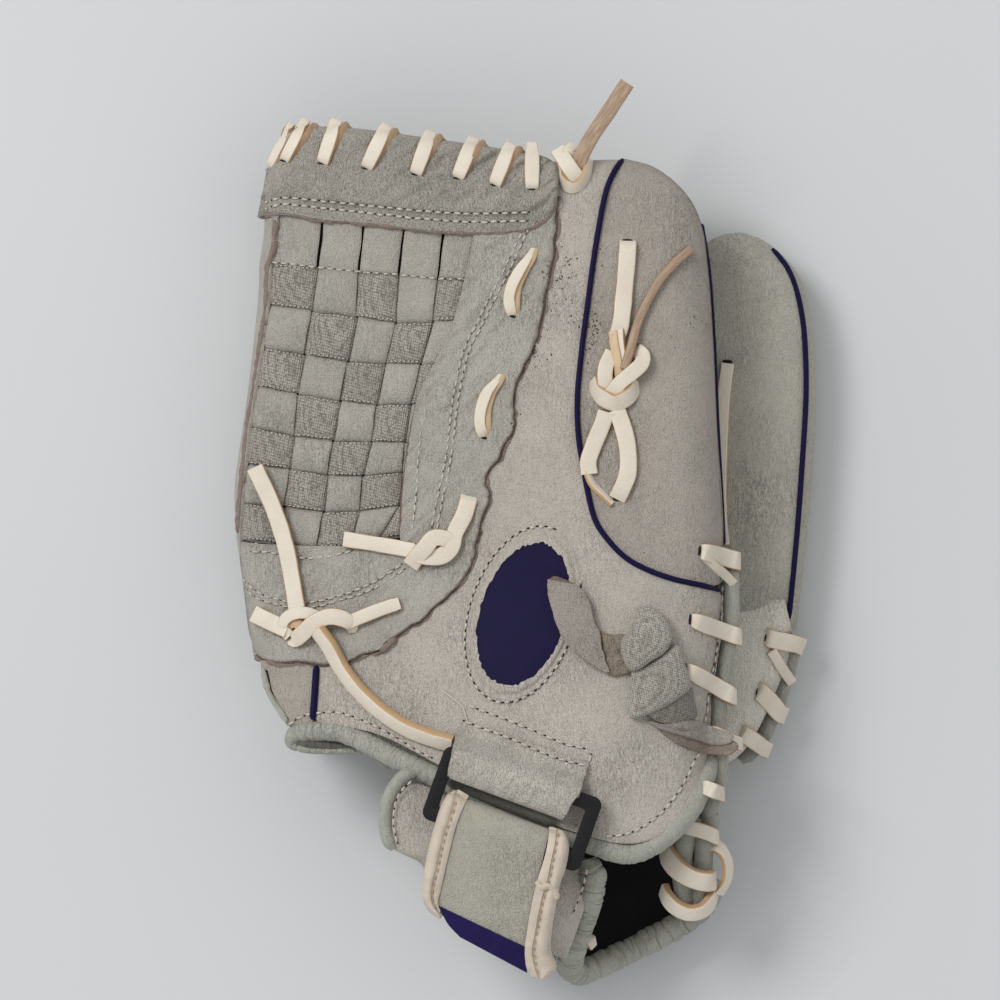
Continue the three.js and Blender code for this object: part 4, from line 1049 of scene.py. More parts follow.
def raw_rim(name, line, surface, body, lift, radius, steps=0, finish=raw_leather):
    """A narrow uneven line on a surface, such as the fuzzy brown cut edge of a piece of leather."""
    u, v = np.asarray(line, float).T
    piece = tube(name, points_at(u, v, surface(u, v) + lift), radius, steps or 6 * len(u), 8, uneven=0.35,
                 seed=len(name))
    return dress(piece, body, (), [finish])


raw_rim("band_raw_edge", band_line[::3], web_top, "thumb_side", -0.0006, 0.00055, 1100, torn_edge)
inward = band_line[::3] - np.stack([-np.gradient(band_line[::3, 1]), np.gradient(band_line[::3, 0])], 1) / 2.6
raw_rim("band_raw_strip", inward, web_top, "thumb_side", -0.0006, 0.0009, 700, hem_edge)
raw_rim("band_inner_raw_edge", smooth_line(BAND_INNER[6:12], 40), web_top, "thumb_side",
        -0.0003, 0.0004)
piece = raw_rim("fold_raw_edge", smooth_line(FOLD_RAW, 60), web_top, None, -0.0001, 0.0011,
                finish=hem_edge)
bend_with_pocket(piece)

# Binding of the web's top: one folded sheet whose upper edge rolls over and returns underneath.
BINDING_FOOT = (
    (257, 217), (270, 214.5), (288, 213.5), (319, 219.5), (373, 224), (426, 230.6), (480, 233), (527, 229.5),
    (543, 221), (557, 205),
)
BINDING_HEAD = (
    (268, 166), (276, 144), (296, 129), (335, 127), (388, 132.5), (432, 139), (478, 145.5), (517, 152), (544, 157),
    (559, 166),
)
binding_foot, binding_head = smooth_line(BINDING_FOOT, 181), smooth_line(BINDING_HEAD, 181)
ROLL = 0.0040
ROLL_PIXELS = ROLL / PIXEL
# Each loop of the wound lace: its slot, where it goes over the edge, and how far it leans to the side.
TOP_LOOPS = (
    ((271, 166), (290, 126), -0.9), ((285, 160), (305, 122), -0.6), ((323, 163), (336, 123), -0.5),
    ((367, 168), (386, 128), -0.3), ((416, 174), (430, 135), -0.2), ((458, 178), (473, 141), -0.2),
    ((495, 185), (510, 147), -0.35), ((532, 189), (532, 146), 0.0),
)


def binding_top(u, v):
    """Upper face of the web's top binding: puffed up, drawn in at each lace, rolled down at its upper edge."""
    u, v = np.broadcast_arrays(np.asarray(u, float), np.asarray(v, float))
    foot = np.interp(u, binding_foot[:, 0], binding_foot[:, 1])
    head = np.interp(u, binding_head[:, 0], binding_head[:, 1])
    share = np.clip((foot - v) / (foot - head), 0, 1)
    z = np.maximum(web_top(u, v), crown(u, v) - 0.007) + 0.0014 + 0.0022 * np.sin(math.pi * share) ** 0.8
    right = np.clip((u - 360) / 100, 0, 1)
    slant = (u * 0.55 + v * 0.83, (u * 0.83 - v * 0.55) * 0.22)
    ridges = share * (0.5 + 0.5 * right) * (0.0018 * ripple(*slant, 6, 71) + 0.0006 * right * ripple(*slant, 2.6, 73))
    ridges = ridges + 0.0004 * ripple(u, v, 7, 72)
    for hole, edge, _ in TOP_LOOPS:
        away = line_distance(np.array([hole, edge], float), u, v)
        ridges = ridges * (1 - np.exp(-(away / 8) ** 2))
        z = z - 0.0011 * np.exp(-(away / 8) ** 2)
    z = z + ridges - 0.0011 * np.exp(-((foot - v - 15) / 4) ** 2)
    inside = np.clip((v - head) / ROLL_PIXELS, 0, 1)
    return z - ROLL + ROLL * np.sqrt(1 - (1 - inside) ** 2)


def binding_where(s, t):
    j = np.rint(s * 180).astype(int)
    foot, head = binding_foot[j], binding_head[j]
    above = t <= 0.75
    run = np.where(above, 1 - (1 - np.minimum(t / 0.75, 1)) ** 1.8, 0)
    away = 34 * np.clip((t - 0.75) / 0.25, 0, 1) ** 1.8
    u, v = np.where(above[:, None], foot + (head - foot) * run[:, None], head + unit(foot - head) * away[:, None]).T
    under = binding_top(*head.T) - ROLL * np.sqrt(1 - (1 - np.clip(away / ROLL_PIXELS, 0, 1)) ** 2)
    return points_at(u, v, np.where(above, binding_top(u, v), under))


piece = shaped_grid("web_top_leather", 180, 80, binding_where)
face_to(piece, (0, 0, 1))
thicken(piece, 0.0014, 0)
dress(piece, "thumb_side", "web_top_binding", cut(binding_body))
raw_rim("binding_raw_edge", binding_foot[2::4], binding_top, "thumb_side", -0.0010, 0.0010, 500,
        hem_edge)
TOP_ROLL = ((281, 148), (298, 138), (336, 137), (386, 143), (430, 149), (475, 156), (512, 162), (540, 169))
top_roll = [point_at(u, v, float(binding_top(u, v)) - 0.0054) for u, v in TOP_ROLL]
dress(tube("web_top_edge", top_roll, 0.0028, 60, 12), "thumb_side", "web_top_roll", [web_leather])


LOOP_WIDTHS = (0.8, 0.95, 1, 1, 1, 0.95, 0.74, 0.66, 0.8) + (1,) * 5


def way_over(hole, edge):
    """A loop's two ends, its length in pixels and its direction on the plan."""
    hole, edge = np.array(hole, float), np.array(edge, float)
    run = np.linalg.norm(edge - hole)
    return hole, edge, run, (edge - hole) / run


def edge_loop(hole, edge, lean, following, width):
    """A lace out of its slot, over the rolled edge and back under it towards the next slot."""
    hole, edge, run, way = way_over(hole, edge)
    following = np.array(following, float)
    out = np.array([way[0], -way[1], 0])
    tilt = np.array([lean, 0, 1.0])
    edge_height = float(binding_top(edge[0], edge[1] + 1))
    spots = [(hole, -1.6, -out), (hole + way * 3, 0.9, tilt - 0.6 * out), (hole + way * run * 0.3, 1.5, tilt),
             (hole + way * run * 0.55, 1.7, tilt), (hole + way * max(run - ROLL_PIXELS, run * 0.7), 1.6, tilt),
             (edge - way * 4.0, 1.3, tilt + 0.9 * out)]
    points = [point_at(*place, float(binding_top(*place)) + h * MM) for place, h, _ in spots]
    ups = [up for _, _, up in spots]
    beyond = edge + way * 1.6
    back = edge - way * 9
    ahead = (edge - way * 16) * 0.5 + following * 0.5
    for place, z, up in ((beyond, edge_height - 0.0008, out), (back, edge_height - 2 * ROLL - 0.0002, (0, 0, -1)),
                         (ahead, edge_height - 2 * ROLL - 0.0010, (0, 0, -1)),
                         (following, edge_height - ROLL - 0.0016, -out)):
        points.append(point_at(*place, z))
        ups.append(up)
    return ribbon("loop", points, np.array(ups, float), steps=56, width=np.array(LOOP_WIDTHS) * width)


piece = panel("web_lower_leather", level(WEB_LOW_HEIGHT), (
    (fold_at(218), 218, 383, 218), (fold_at(300), 300, 371, 300), (fold_at(440), 440, 338, 440),
    (fold_at(560), 560, 308, 560), (fold_at(636), 636, 289, 636)), 24, 100, WEB_LEATHER)
dress(piece, "finger_side", "web_lower_leg", WEBS)
piece = panel("web_lower_edge", level(WEB_LOW_HEIGHT),
              ((276, 158, 276, 215), (320, 160, 318, 215), (380, 164, 376, 215)), 20, 40)
dress(piece, "finger_side", "web_lower_binding", WEBS)


# Basket weave: upright leather strips and level knit strips pass over and under each other.
ROW_LINES = np.array((
    ((278, 214), (323, 219), (364, 225), (405, 228), (444, 230), (478, 228)),
    ((271, 263), (318, 266.5), (359, 270), (399, 273), (438, 276), (468, 278)),
    ((268, 305), (312, 311), (357, 317), (396, 323), (433, 322), (460, 320)),
    ((262, 347), (305, 354.5), (348, 362), (386, 363.5), (421, 364), (450, 364)),
    ((256, 386), (298, 393.5), (341, 401), (377, 405), (411, 404), (440, 404)),
    ((249, 426), (294, 436), (333, 441), (372, 442), (405, 442), (436, 442)),
    ((245, 464), (290, 469), (328, 475), (363, 476), (402, 472), (434, 472)),
    ((241, 503), (284, 507), (324, 512), (360, 511), (400, 505), (432, 505)),
    ((239, 539), (278, 543), (317, 548), (351, 546), (380, 538), (430, 532)),
), float)
COLUMNS, ROWS = 5, 8


def weave_place(column, row):
    """Plan place of a point of the weave, given in columns and rows of its cells."""
    i = np.clip(np.floor(column).astype(int), 0, COLUMNS - 1)
    j = np.clip(np.floor(row).astype(int), 0, ROWS - 1)
    f, g = (column - i)[:, None], (row - j)[:, None]
    near = ROW_LINES[j, i] * (1 - f) + ROW_LINES[j, i + 1] * f
    far = ROW_LINES[j + 1, i] * (1 - f) + ROW_LINES[j + 1, i + 1] * f
    return (near * (1 - g) + far * g).T


def passing(position, first_over):
    """How far a strip lies over (1) or under (-1) the others, from cell to cell."""
    return squared(np.sin(math.pi * position) * (1 if first_over else -1), 0.5)


TOP_LIFT = 0.8


def woven(name, upright, number, columns, rows, seed):
    """One strip of the weave: an upright leather strip or a level knit strip."""
    def where(s, t):
        wander = 0.022 * ripple(t * 30, s * 0, 1.6, seed)
        fringe = 0 if upright else 0.016 * np.abs(2 * s - 1) ** 9 * ripple(t * 250, s * 3, 1, seed + 3)
        across = 0.022 + 0.956 * s + wander * 0.8 + fringe * np.sign(s - 0.5)
        curl = -0.0009 * np.abs(2 * s - 1) ** 5
        if upright:
            row = ROWS * t
            u, v = weave_place(number + across, row)
            wave = np.where(row < 1, TOP_LIFT, passing(row, number % 2 == 0))
            started = np.clip((row - 1) / 0.18, 0, 1)
            wave = np.where((row >= 1) & (row < 1.18), TOP_LIFT + (wave - TOP_LIFT) * started, wave)
        else:
            column = COLUMNS * t
            u, v = weave_place(column, number + across)
            wave = passing(column, number % 2 == 1)
        lift = -0.0021 + 0.0018 * wave + curl + 0.0003 * ripple(u, v, 14, seed + 9)
        return points_at(u, v, web_top(u, v) + lift)

    piece = shaped_grid(name, columns, rows, where)
    face_to(piece, (0, 0, 1))
    thicken(piece, 0.0012, 0.0003)
    return piece


for number in range(COLUMNS):
    piece = woven(f"web_upright_strip_{number + 1}", True, number, 16, 160, 40 + number)
    bend_with_pocket(dress(piece, None, (), STRIPS))
for number in range(1, ROWS):
    piece = woven(f"web_knit_strip_{number}", False, number, 40, 120, 50 + number)
    bend_with_pocket(dress(piece, None, (), [knit_finish, fringe_with_painted_shade, knit_finish]))

whip_rows = []
for number in range(1, ROWS):
    for column in range((number + 1) % 2, COLUMNS, 2):
        for edge in (0.05, 0.95):
            places = weave_place(np.linspace(column + 0.08, column + 0.92, 4), np.full(4, number + edge))
            whip_rows.append(np.stack(places, 1))
piece = stitching("web_knit_whip_stitches", whip_rows, None, web_top, -0.0008, 4.2, 0.7, 0.00045)
bend_with_pocket(piece)


# Laces.
def lace(name, places, node, surface=thumb_top, lift=0.0016, up=(0, 0, 1), finish=lace_finish, slot="lace_leather",
         **shape):
    """A free stretch of lace on the thumb side."""
    dress(ribbon(name, over(surface, places, lift), up, **shape), "thumb_side", node, [finish])


def join(name, pieces):
    """Several strands made one piece."""
    bpy.ops.object.select_all(action="DESELECT")
    for piece in pieces:
        piece.select_set(True)
    bpy.context.view_layer.objects.active = pieces[0]
    if len(pieces) > 1:
        bpy.ops.object.join()
    pieces[0].name = pieces[0].data.name = name
    return pieces[0]


def strand(places, ups=(0, 0, 1), surface=thumb_top, width=LACE_WIDTH, steps=40, **shape):
    """A stretch of lace in a knot: places are (u, v, millimetres over the surface)."""
    points = [point_at(u, v, height_at(surface, u, v) + h * MM) for u, v, h in places]
    return ribbon("strand", points, ups, width=width, steps=steps, **shape)


def knot(name, strands, node=(), body="thumb_side", finish=lace_finish):
    """Strands of lace that make one piece: a knot, or a row of loops."""
    dress(join(name, strands), body, node, [finish])


DOWN_FACE = (0, -0.55, 0.8)
knot("web_top_lacing", [
    edge_loop(hole, edge, lean, TOP_LOOPS[min(k + 1, 7)][0], (0.0042, 0.0045, 0.0054)[min(k, 2)])
    for k, (hole, edge, lean) in enumerate(TOP_LOOPS)], "web_top_lace")


def loop_back(hole, edge):
    """The turned-over side of a lace that shows to the right of its face, at the binding's edge."""
    hole, edge, run, way = way_over(hole, edge)
    beside = np.array([-way[1], way[0]])
    spots = [hole + way * run * 0.12 + beside * 4.6, hole + way * run * 0.45 + beside * 6.2,
             hole + way * run * 0.78 + beside * 8.2, edge + beside * 10.4 + way * 0.5, edge + beside * 13.2 - way * 0.5]
    points = [point_at(u, v, float(binding_top(u, v)) + h * MM)
              for (u, v), h in zip(spots, (-0.3, 0.1, 0.1, 0.4, -1.2))]
    points.append((points[-1][0] + 0.0006, points[-1][1] - 0.0012, points[-1][2] - 0.0022))
    ups = ((0.7, 0, 0.7), (0.6, 0, 0.8), (0.5, 0.1, 0.9), (0.3, 0.4, 0.8), (0.5, 0.8, 0.3), (0.6, 0.8, 0))
    return ribbon("back", points, ups, steps=36, width=(0.0010, 0.0021, 0.0026, 0.0028, 0.0028, 0.0026))


knot("web_top_lacing_turns", [loop_back(hole, edge) for hole, edge, _ in TOP_LOOPS[:7]], finish=brown_lace_finish)
slots("web_top_slots", [(hole[0] - 6.4, hole[1] + 0.4, hole[0] + 4.6, hole[1] + 1.8) for hole, _, _ in TOP_LOOPS[1:]],
      "thumb_side", binding_top, 0.0004)
slots("thumb_side_slots", ((700, 545, 698, 556), (690, 613, 689, 625), (685, 662, 683, 674), (703, 781, 702, 791),
                           (620.5, 241.5, 633, 241.5), (611, 499, 622, 500)), "thumb_side")
slots("web_slots", ((507, 314, 516, 318), (479, 436, 488, 439), (462, 498, 474, 499)), "thumb_side",
      web_top)
slots("little_finger_slots", ((722.5, 360.5, 734, 361.5), (768, 634, 766, 643), (759, 688, 757, 697),
                              (744, 730, 742, 739)), "finger_side",
      lambda u, v: np.where(np.asarray(v) < 500, STALL_HEIGHT, finger_palm(u, v)))
knot("thumb_heel_lacing", [
    heel_lace((701, 551), (738, 561), 0.0068), heel_lace((691, 619), (739, 637)), heel_lace((686, 668), (734, 697)),
    heel_lace((712, 731), (740, 744), 0.0048), heel_lace((704, 786), (722, 794), 0.0056),
    bent_lace(((704, 556, 0.0652), (714, 566, 0.0610), (724, 574, 0.0560), (733, 583, 0.0520)), (0.5, -0.6, 0.6),
              0.0036, 24),
    bent_lace(((681, 824, 0.0470), (685, 826, 0.0505), (697, 829, 0.0512), (709, 833, 0.0502), (715, 837, 0.0480),
               (717, 839, 0.0440)),
              ((-0.9, 0, 0.3), (-0.2, -0.3, 1), (0, -0.3, 1), (0.2, -0.3, 1), (0.8, 0, 0.6), (1, 0, 0)), 0.0056),
    bent_lace(((666, 850, 0.0420), (669, 858, 0.0450), (678, 869, 0.0476), (693, 878, 0.0484), (706, 881, 0.0478),
               (713, 880, 0.0440)),
              ((-0.7, -0.2, 0.7), (-0.3, -0.4, 0.9), (-0.1, -0.45, 0.9), (0, -0.45, 0.9), (0.2, -0.4, 0.9),
               (0.9, 0, 0.3)), 0.0076, thickness=0.0030),
    bent_lace(((664, 890, 0.0390), (668, 899, 0.0420), (677, 908, 0.0436), (690, 913, 0.0440), (703, 910, 0.0436),
               (711, 901, 0.0420), (714, 890, 0.0380)),
              ((-0.9, -0.2, 0.5), (-0.5, -0.5, 0.8), (-0.2, -0.6, 0.8), (0, -0.6, 0.8), (0.3, -0.6, 0.8),
               (0.7, -0.4, 0.6), (1, 0, 0.4)), 0.0062, thickness=0.0030),
    bent_lace(((708, 845, 0.0440), (716, 846, 0.0450), (724, 854, 0.0445), (728, 868, 0.0430), (726, 882, 0.0415),
               (718, 894, 0.0400)),
              ((0, 0.4, 0.9), (0.3, 0.4, 0.8), (0.7, 0.3, 0.6), (0.8, 0, 0.6), (0.8, -0.3, 0.5), (0.5, -0.5, 0.5)),
              0.0054),
], "thumb_heel_lace")


def pinky_height(u, v, lift):
    """Height over the little finger's palm leather."""
    return float(finger_palm(u, v)) + lift


def pinky_loop(start, end, width):
    """Lace out of its slot in the little finger's palm leather and over the heel edge."""
    (u0, v0), (u1, v1) = start, end
    middle = ((u0 + u1) / 2, (v0 + v1) / 2)
    return bent_lace(((u0 - 1, v0 - 1, pinky_height(u0, v0, -0.0014)), (u0 + 2, v0 + 1, pinky_height(u0, v0, 0.0012)),
                      (*middle, pinky_height(*middle, 0.0016)), (u1 - 4, v1 - 2, LOW_SEAM_HEIGHT + 0.0062),
                      (u1, v1, LOW_SEAM_HEIGHT + 0.0030), (u1 + 1, v1 + 1, LOW_SEAM_HEIGHT - 0.0020)),
                     ((-0.8, 0, 0.6), (-0.2, 0, 1), (0, 0, 1), (0.4, -0.3, 1), (0.9, -0.4, 0.4), (1, -0.4, 0)), width)


knot("pinky_heel_lacing", [
    pinky_loop((769, 638), (803, 647), 0.0066), pinky_loop((760, 692), (785, 716), 0.0068),
    pinky_loop((743, 734), (769, 751), 0.0062),
    bent_lace(((772, 651, pinky_height(772, 651, 0.0012)), (781, 666, pinky_height(781, 666, 0.0012)),
               (793, 683, 0.0165)), (0.3, -0.3, 1), 0.0040, 20)], "pinky_heel_lace", "finger_side")
CRESCENT_UPS = ((0, 0.6, 0.8), (-0.35, 0, 1), (-0.4, 0, 1), (-0.45, 0, 1), (-0.4, 0, 1), (0, -0.5, 1), (0, -0.9, 0.4))
CRESCENTS = (
    ((533.5, 249, -1.0), (529, 258, 0.9), (520.4, 270.6, 1.5), (512.5, 286, 1.6), (509.5, 299, 1.4), (511, 311, 0.6),
     (513, 316, -1.2)),
    ((501, 375, -1.0), (497, 381, 0.9), (487.5, 393, 1.5), (481.5, 410, 1.6), (480.5, 424, 1.5), (482.5, 433, 0.6),
     (484, 437, -1.2)))
knot("web_to_thumb_lace", [strand(line, CRESCENT_UPS, web_top, (0.0014, 0.0032, 0.0044, 0.0046, 0.0044, 0.0032))
                           for line in CRESCENTS], "web_thumb_lace")
knot("web_to_thumb_lace_sides", [
    strand([(u + 3.6 + 0.6 * k - (k > 4) * 2, v - 1, h - 0.5) for k, (u, v, h) in enumerate(line)], (0.3, 0, 1),
           web_top, (0.0012, 0.0026, 0.0032, 0.0034, 0.0034, 0.0024)) for line in CRESCENTS], finish=tan_lace_finish)
knot("web_to_thumb_knot", [
    strand(((469, 497, -0.8), (468, 502, 1.2), (464, 515, 2.0), (455, 533, 2.4), (451, 548, 2.6), (441, 556, 2.6),
            (425, 556, 3.0), (412, 552, 2.4)), surface=web_top),
    strand(((414, 551, 2.4), (400, 548, 1.6), (370, 543, 1.4), (344, 539, 1.8)), width=0.0056, surface=web_top),
    strand(((411, 565, 1.6), (417, 557, 3.4), (425, 548, 4.6), (434, 538, 4.4), (446, 539, 3.4), (452, 545, 2.2)),
           width=0.0062, surface=web_top),
])
knot("thumb_stall_lace", [
    strand(((627.5, 242, -1.5), (627.5, 246, 1.0), (627, 254, 1.6), (624, 290, 1.6), (620, 326, 1.8), (617, 336, 1.0)),
           ((0, 1, 0.2), (0, 0.6, 1), (0, 0, 1), (0, 0, 1), (0, 0, 1), (0, 0, 1)), steps=60),
    strand(((618, 330, 1.4), (619, 345, 1.8), (621, 362, 2.2), (621, 376, 2.4)), ups=(-0.5, 0, 0.8), width=0.0046),
    strand(((606, 412, 2.4), (602, 424, 1.8), (593, 446, 1.4), (588, 462, 1.6), (589, 474, 1.2)), width=0.0062),
    strand(((585, 466, 0.8), (592, 484, 0.9), (604, 496, 0.8), (612, 504, 0.4)), ups=(0.5, 0.6, 0.6), width=0.0030),
    strand(((616, 410, 1.6), (622, 426, 1.5), (627, 448, 1.5), (627, 474, 1.6), (620, 492, 1.6), (617, 498, 0.2)),
           width=0.0064),
], "thumb_lace")
knot("thumb_stall_knot", [
    strand(((612, 353, 1.2), (605.5, 367, 3.2), (605, 382, 3.6), (609, 393, 2.6)), width=0.0056),
    strand(((636, 351, 0.6), (642, 356, 2.4), (641, 364, 3.8), (632, 373, 4.8), (620, 383, 5.0), (611, 394, 3.6)),
           width=0.0056),
    strand(((593, 381, 0.8), (596, 391, 2.2), (604, 399, 3.2), (614, 403, 3.6), (625, 399, 3.2), (633, 391, 2.2),
            (634.5, 381, 0.8)), ((-0.8, -0.3, 0.5), (-0.5, -0.5, 0.6), DOWN_FACE, DOWN_FACE, DOWN_FACE,
                                 (0.5, -0.5, 0.6), (0.8, -0.3, 0.5)), width=0.0068),
], "thumb_lace_knot")
knot("thumb_stall_lace_turned_side", [strand(((613, 332, 1.4), (614.5, 346, 2.2), (618, 364, 2.6), (619, 377, 2.4)),
                                             (-0.4, 0, 0.9), width=0.0034)], finish=tan_lace_finish)
lace("thumb_stall_lace_tail", ((624, 370, 1.4), (631, 346, 0.8), (638, 322), (648, 300), (662, 277), (675, 263),
                               (690, 250)), "thumb_lace_tail", finish=flesh_lace_finish, slot="lace_flesh_side",
     width=0.0034, thickness=0.0028, square=0.7)
tail_path = over(web_top, ((254.9, 467.3, 0.4), (273, 506.5, 0.7), (285.5, 544.8, 0.8), (293, 583, 0.8),
                           (297, 608, 0.9)), 0.0016)
piece = ribbon("web_foot_lace_tail", tail_path, (-0.28, 0, 1))
dress(piece, "thumb_side", "web_bottom_lace_tail", [lace_finish])
lace("web_foot_lace_start", ((254, 614), (264, 619), (275, 624), (288, 630, 0.6)), "web_bottom_lace_start", web_top)
lace("web_foot_lace_end", ((346, 624, 0.1), (354, 620, 0.5), (372, 612.5, 0.4), (390, 606, 0.2), (400, 603)),
     "web_bottom_lace_end", web_top, width=(0.0050,) * 9 + (0.0044,))
lace("web_foot_lace_lead", ((318, 630, 1.4), (329, 645, 1.1), (340, 665, 1.0), (356, 687, 0.7), (379, 709, 0.5),
                            (404, 726, 0.4), (428, 736, 0.4), (453, 743, 0.4)), "web_bottom_lace_lead", web_top,
     0.0020, (-0.70, -0.78, 1), width=0.0062, thickness=0.0036)
knot("web_foot_knot", [
    strand(((319, 618, 2.4), (308, 613.5, 3.2), (296, 613.5, 3.6), (286, 619, 3.2), (283.5, 628, 2.4), (290, 636, 1.8)),
           ((0, 0.2, 1), (0, 0.2, 1), (-0.2, 0.2, 1), (-0.5, 0, 0.9), (-0.5, 0, 0.8), (-0.3, 0, 1)), web_top, 0.0046),
    strand(((352.5, 631, -0.2), (351.5, 625, 2.2), (344, 619, 4.0), (330, 616.5, 5.2), (315, 622, 5.4), (304, 632, 4.6),
            (298, 637.5, 3.4), (294, 640, 1.6), (292.5, 639, -0.6)),
           width=(0.0030, 0.0046, 0.0056) + (0.0060,) * 9 + (0.0054, 0.0044), surface=web_top),
], "web_bottom_lace_knot")
knot("web_foot_knot_inside", [strand(((285, 628, 1.6), (292, 623, 2.2), (299, 624, 2.2), (303, 630, 1.8)), width=0.0040,
                                     surface=web_top)], finish=tan_lace_finish)
KNOT_HEIGHT = height_at(thumb_top, 571.0, 172.0)
knot_level = level(KNOT_HEIGHT)
knot("web_top_knot", [
    strand(((558, 150, 0.6), (564, 160, 3.2), (572, 172, 4.4), (580, 182, 3.2)), surface=knot_level, width=0.0058),
    strand(((559, 166, 0.8), (562, 180, 2.4), (571, 188, 3.4), (581, 184, 3.6), (587, 172, 2.8), (588, 160, 1.0)),
           ((-0.8, -0.3, 0.5), (-0.6, -0.6, 0.5), DOWN_FACE, (0.3, -0.7, 0.6), (0.8, -0.3, 0.5), (0.8, 0, 0.5)),
           knot_level, 0.0050),
    strand(((572, 163, 1.2), (568, 152, 2.2), (573, 146, 1.2)), surface=knot_level, width=0.0040),
], "web_top_lace_knot")
top_tail = [point_at(u, v, KNOT_HEIGHT + h * MM) for u, v, h in
            ((577, 172, 2.6), (580, 160, 3.6), (590, 140, 3.4), (606, 116, 3.0), (627, 84, 3.0))]
piece = ribbon("web_top_lace_tail_end", top_tail, (-0.1, 0.1, 1), width=0.0055)
dress(piece, "thumb_side", "web_top_lace_tail", [flesh_lace_finish])

# Oval patch, set in a window of the shell with a raw rim.
PATCH_PLACE = (523.0, 614.0)
PATCH_LENGTH, PATCH_WIDTH, PATCH_TURN = 0.0545, 0.0318, math.radians(-72)


def patch_spot(share, angle):
    """Plan place at an angle round the patch, at a share of the way out to its edge."""
    along = share * PATCH_LENGTH / 2 * np.cos(angle) / PIXEL
    across = share * PATCH_WIDTH / 2 * np.sin(angle) / PIXEL
    return (PATCH_PLACE[0] + along * math.cos(PATCH_TURN) - across * math.sin(PATCH_TURN),
            PATCH_PLACE[1] + along * math.sin(PATCH_TURN) + across * math.cos(PATCH_TURN))


def patch_ring(name, inner, outer, rings, height, fray=0.0):
    """A ring of leather round the patch's middle; height(share) lifts it over the shell."""
    def where(s, t):
        angle = 2 * math.pi * s
        share = inner + (outer - inner) * t
        share = share + fray * (1 - t) ** 3 * (ripple(60 * s, s * 0, 0.8, 5) + 1.6 * ripple(60 * s, s * 0, 0.3, 6))
        u, v = patch_spot(share, angle)
        return points_at(u, v, thumb_top(u, v) + height(t))

    piece = shaped_grid(name, 180, rings, where)
    merge(piece)
    face_to(piece, (0, 0, 1))
    return piece


piece = patch_ring("oval_patch_leather", 0.0, 1.06, 30, lambda t: 0.0010 + 0.0004 * (1 - t ** 4))
thicken(piece, 0.0012, 0)
dress(piece, "thumb_side", "oval_patch", [navy_leather] * 3)
piece = patch_ring("patch_rim_leather", 0.97, 1.25, 14,
                   lambda t: 0.0020 * np.cos(np.minimum(t * 1.15, 1) * math.pi / 2) ** 0.8
                   - 0.0007 * np.exp(-((t - 0.48) / 0.12) ** 2) - 0.0003, fray=0.012)
thicken(piece, 0.0014, 0)
dress(piece, "thumb_side", (), UPPERS)

# Loop strap of the thumb.
LOOP_LEVEL, LOOP_SOFTNESS = 0.0575, 0.000004


def loop_ground(u, v):
    """The shell's height, but never below the level at which the loop strap lies."""
    above = thumb_top(u, v) - LOOP_LEVEL
    return LOOP_LEVEL + 0.5 * (above + np.sqrt(above ** 2 + LOOP_SOFTNESS))


def dome(name, outline, base, rise, finish, node=(), edge=0.0015, lean=(0, 0), crinkle=0.0001):
    """A folded leaf of strap on the shell: a low dome with a rolled rim inside an outline of plan places."""
    around, rings = 96, 20
    line = even_line(list(outline) + [outline[0]], around + 1)
    line[-1] = line[0]
    centre = line[:-1].mean(0)

    def where(s, t):
        j = np.rint(s * around).astype(int)
        share, drop = np.minimum(t / 0.8, 1), np.clip((t - 0.8) / 0.2, 0, 1)
        share = 1 - (1 - share) ** 1.5
        arm = line[j] - centre
        u, v = (centre + arm * share[:, None]).T
        gap = (1 - share) * np.linalg.norm(arm, axis=1) * PIXEL
        rim = edge * np.sqrt(np.clip(1 - (1 - np.minimum(gap / edge, 1)) ** 2, 0, 1)) - edge
        tilt = ((u - centre[0]) * lean[0] + (v - centre[1]) * lean[1]) * PIXEL
        z = loop_ground(u, v) + base + rise * (1 - share ** 2) + rim + tilt + crinkle * ripple(u, v, 5, 5)
        return points_at(u, v, z * (1 - drop) + (loop_ground(u, v) - 0.0004) * drop)

    piece = shaped_grid(name, around, rings, where)
    merge(piece, threshold=1e-5)
    face_to(piece, (0, 0, 1))
    thicken(piece, 0.0006, 0)
    dress(piece, "thumb_side", node, finish)


piece = panel("loop_strap_leather_tab", thumb_top, (
    (547, 579, 576, 584), (548, 592, 584, 592), (552, 610, 590.5, 606), (556, 625, 594, 621), (563, 639, 599.5, 633),
    (573, 649, 601.5, 647), (588, 662, 605, 660), (605, 672, 609, 671)), 24, 90, 0.0022, lift=0.0044, ragged=(0.5, 0.5),
    relief=lambda u, v: 0.0009 * np.sin((u - 549) / 40 * math.pi))
dress(piece, "thumb_side", "loop_strap_tab", cut(suede))
raw_rim("loop_tab_raw_end", ((548, 580.5), (557, 581), (566, 583.5), (575, 586)), thumb_top, "thumb_side",
        0.0034, 0.0013, 60)
SUEDES = cut(brown_suede)
KNITS = (loop_knit, fringe_with_painted_shade, fringe_with_painted_shade)
dome("loop_strap_twist", ((599, 630), (612, 634), (624, 634), (631, 652), (634, 670), (620, 675), (608, 674),
                          (602, 652)), 0.0018, 0.0012, SUEDES, edge=0.0012, lean=(0.02, 0),
     crinkle=0.0006)
dome("loop_strap_leather_leaf", ((655, 726), (672, 729), (692, 737), (714, 742), (733, 740), (738, 746), (730, 754),
                                 (711, 754), (690, 749), (670, 739)), 0.0016, 0.0005, SUEDES,
     edge=0.0010, crinkle=0.0004)
dome("loop_strap_leather_end", ((647, 720), (662, 723), (690, 719), (712, 726), (733, 735), (731, 741), (716, 745),
                                (691, 738), (668, 731), (655, 726)), 0.0032, 0.0008, cut(suede),
     "loop_strap_end", edge=0.0010, crinkle=0.0004)
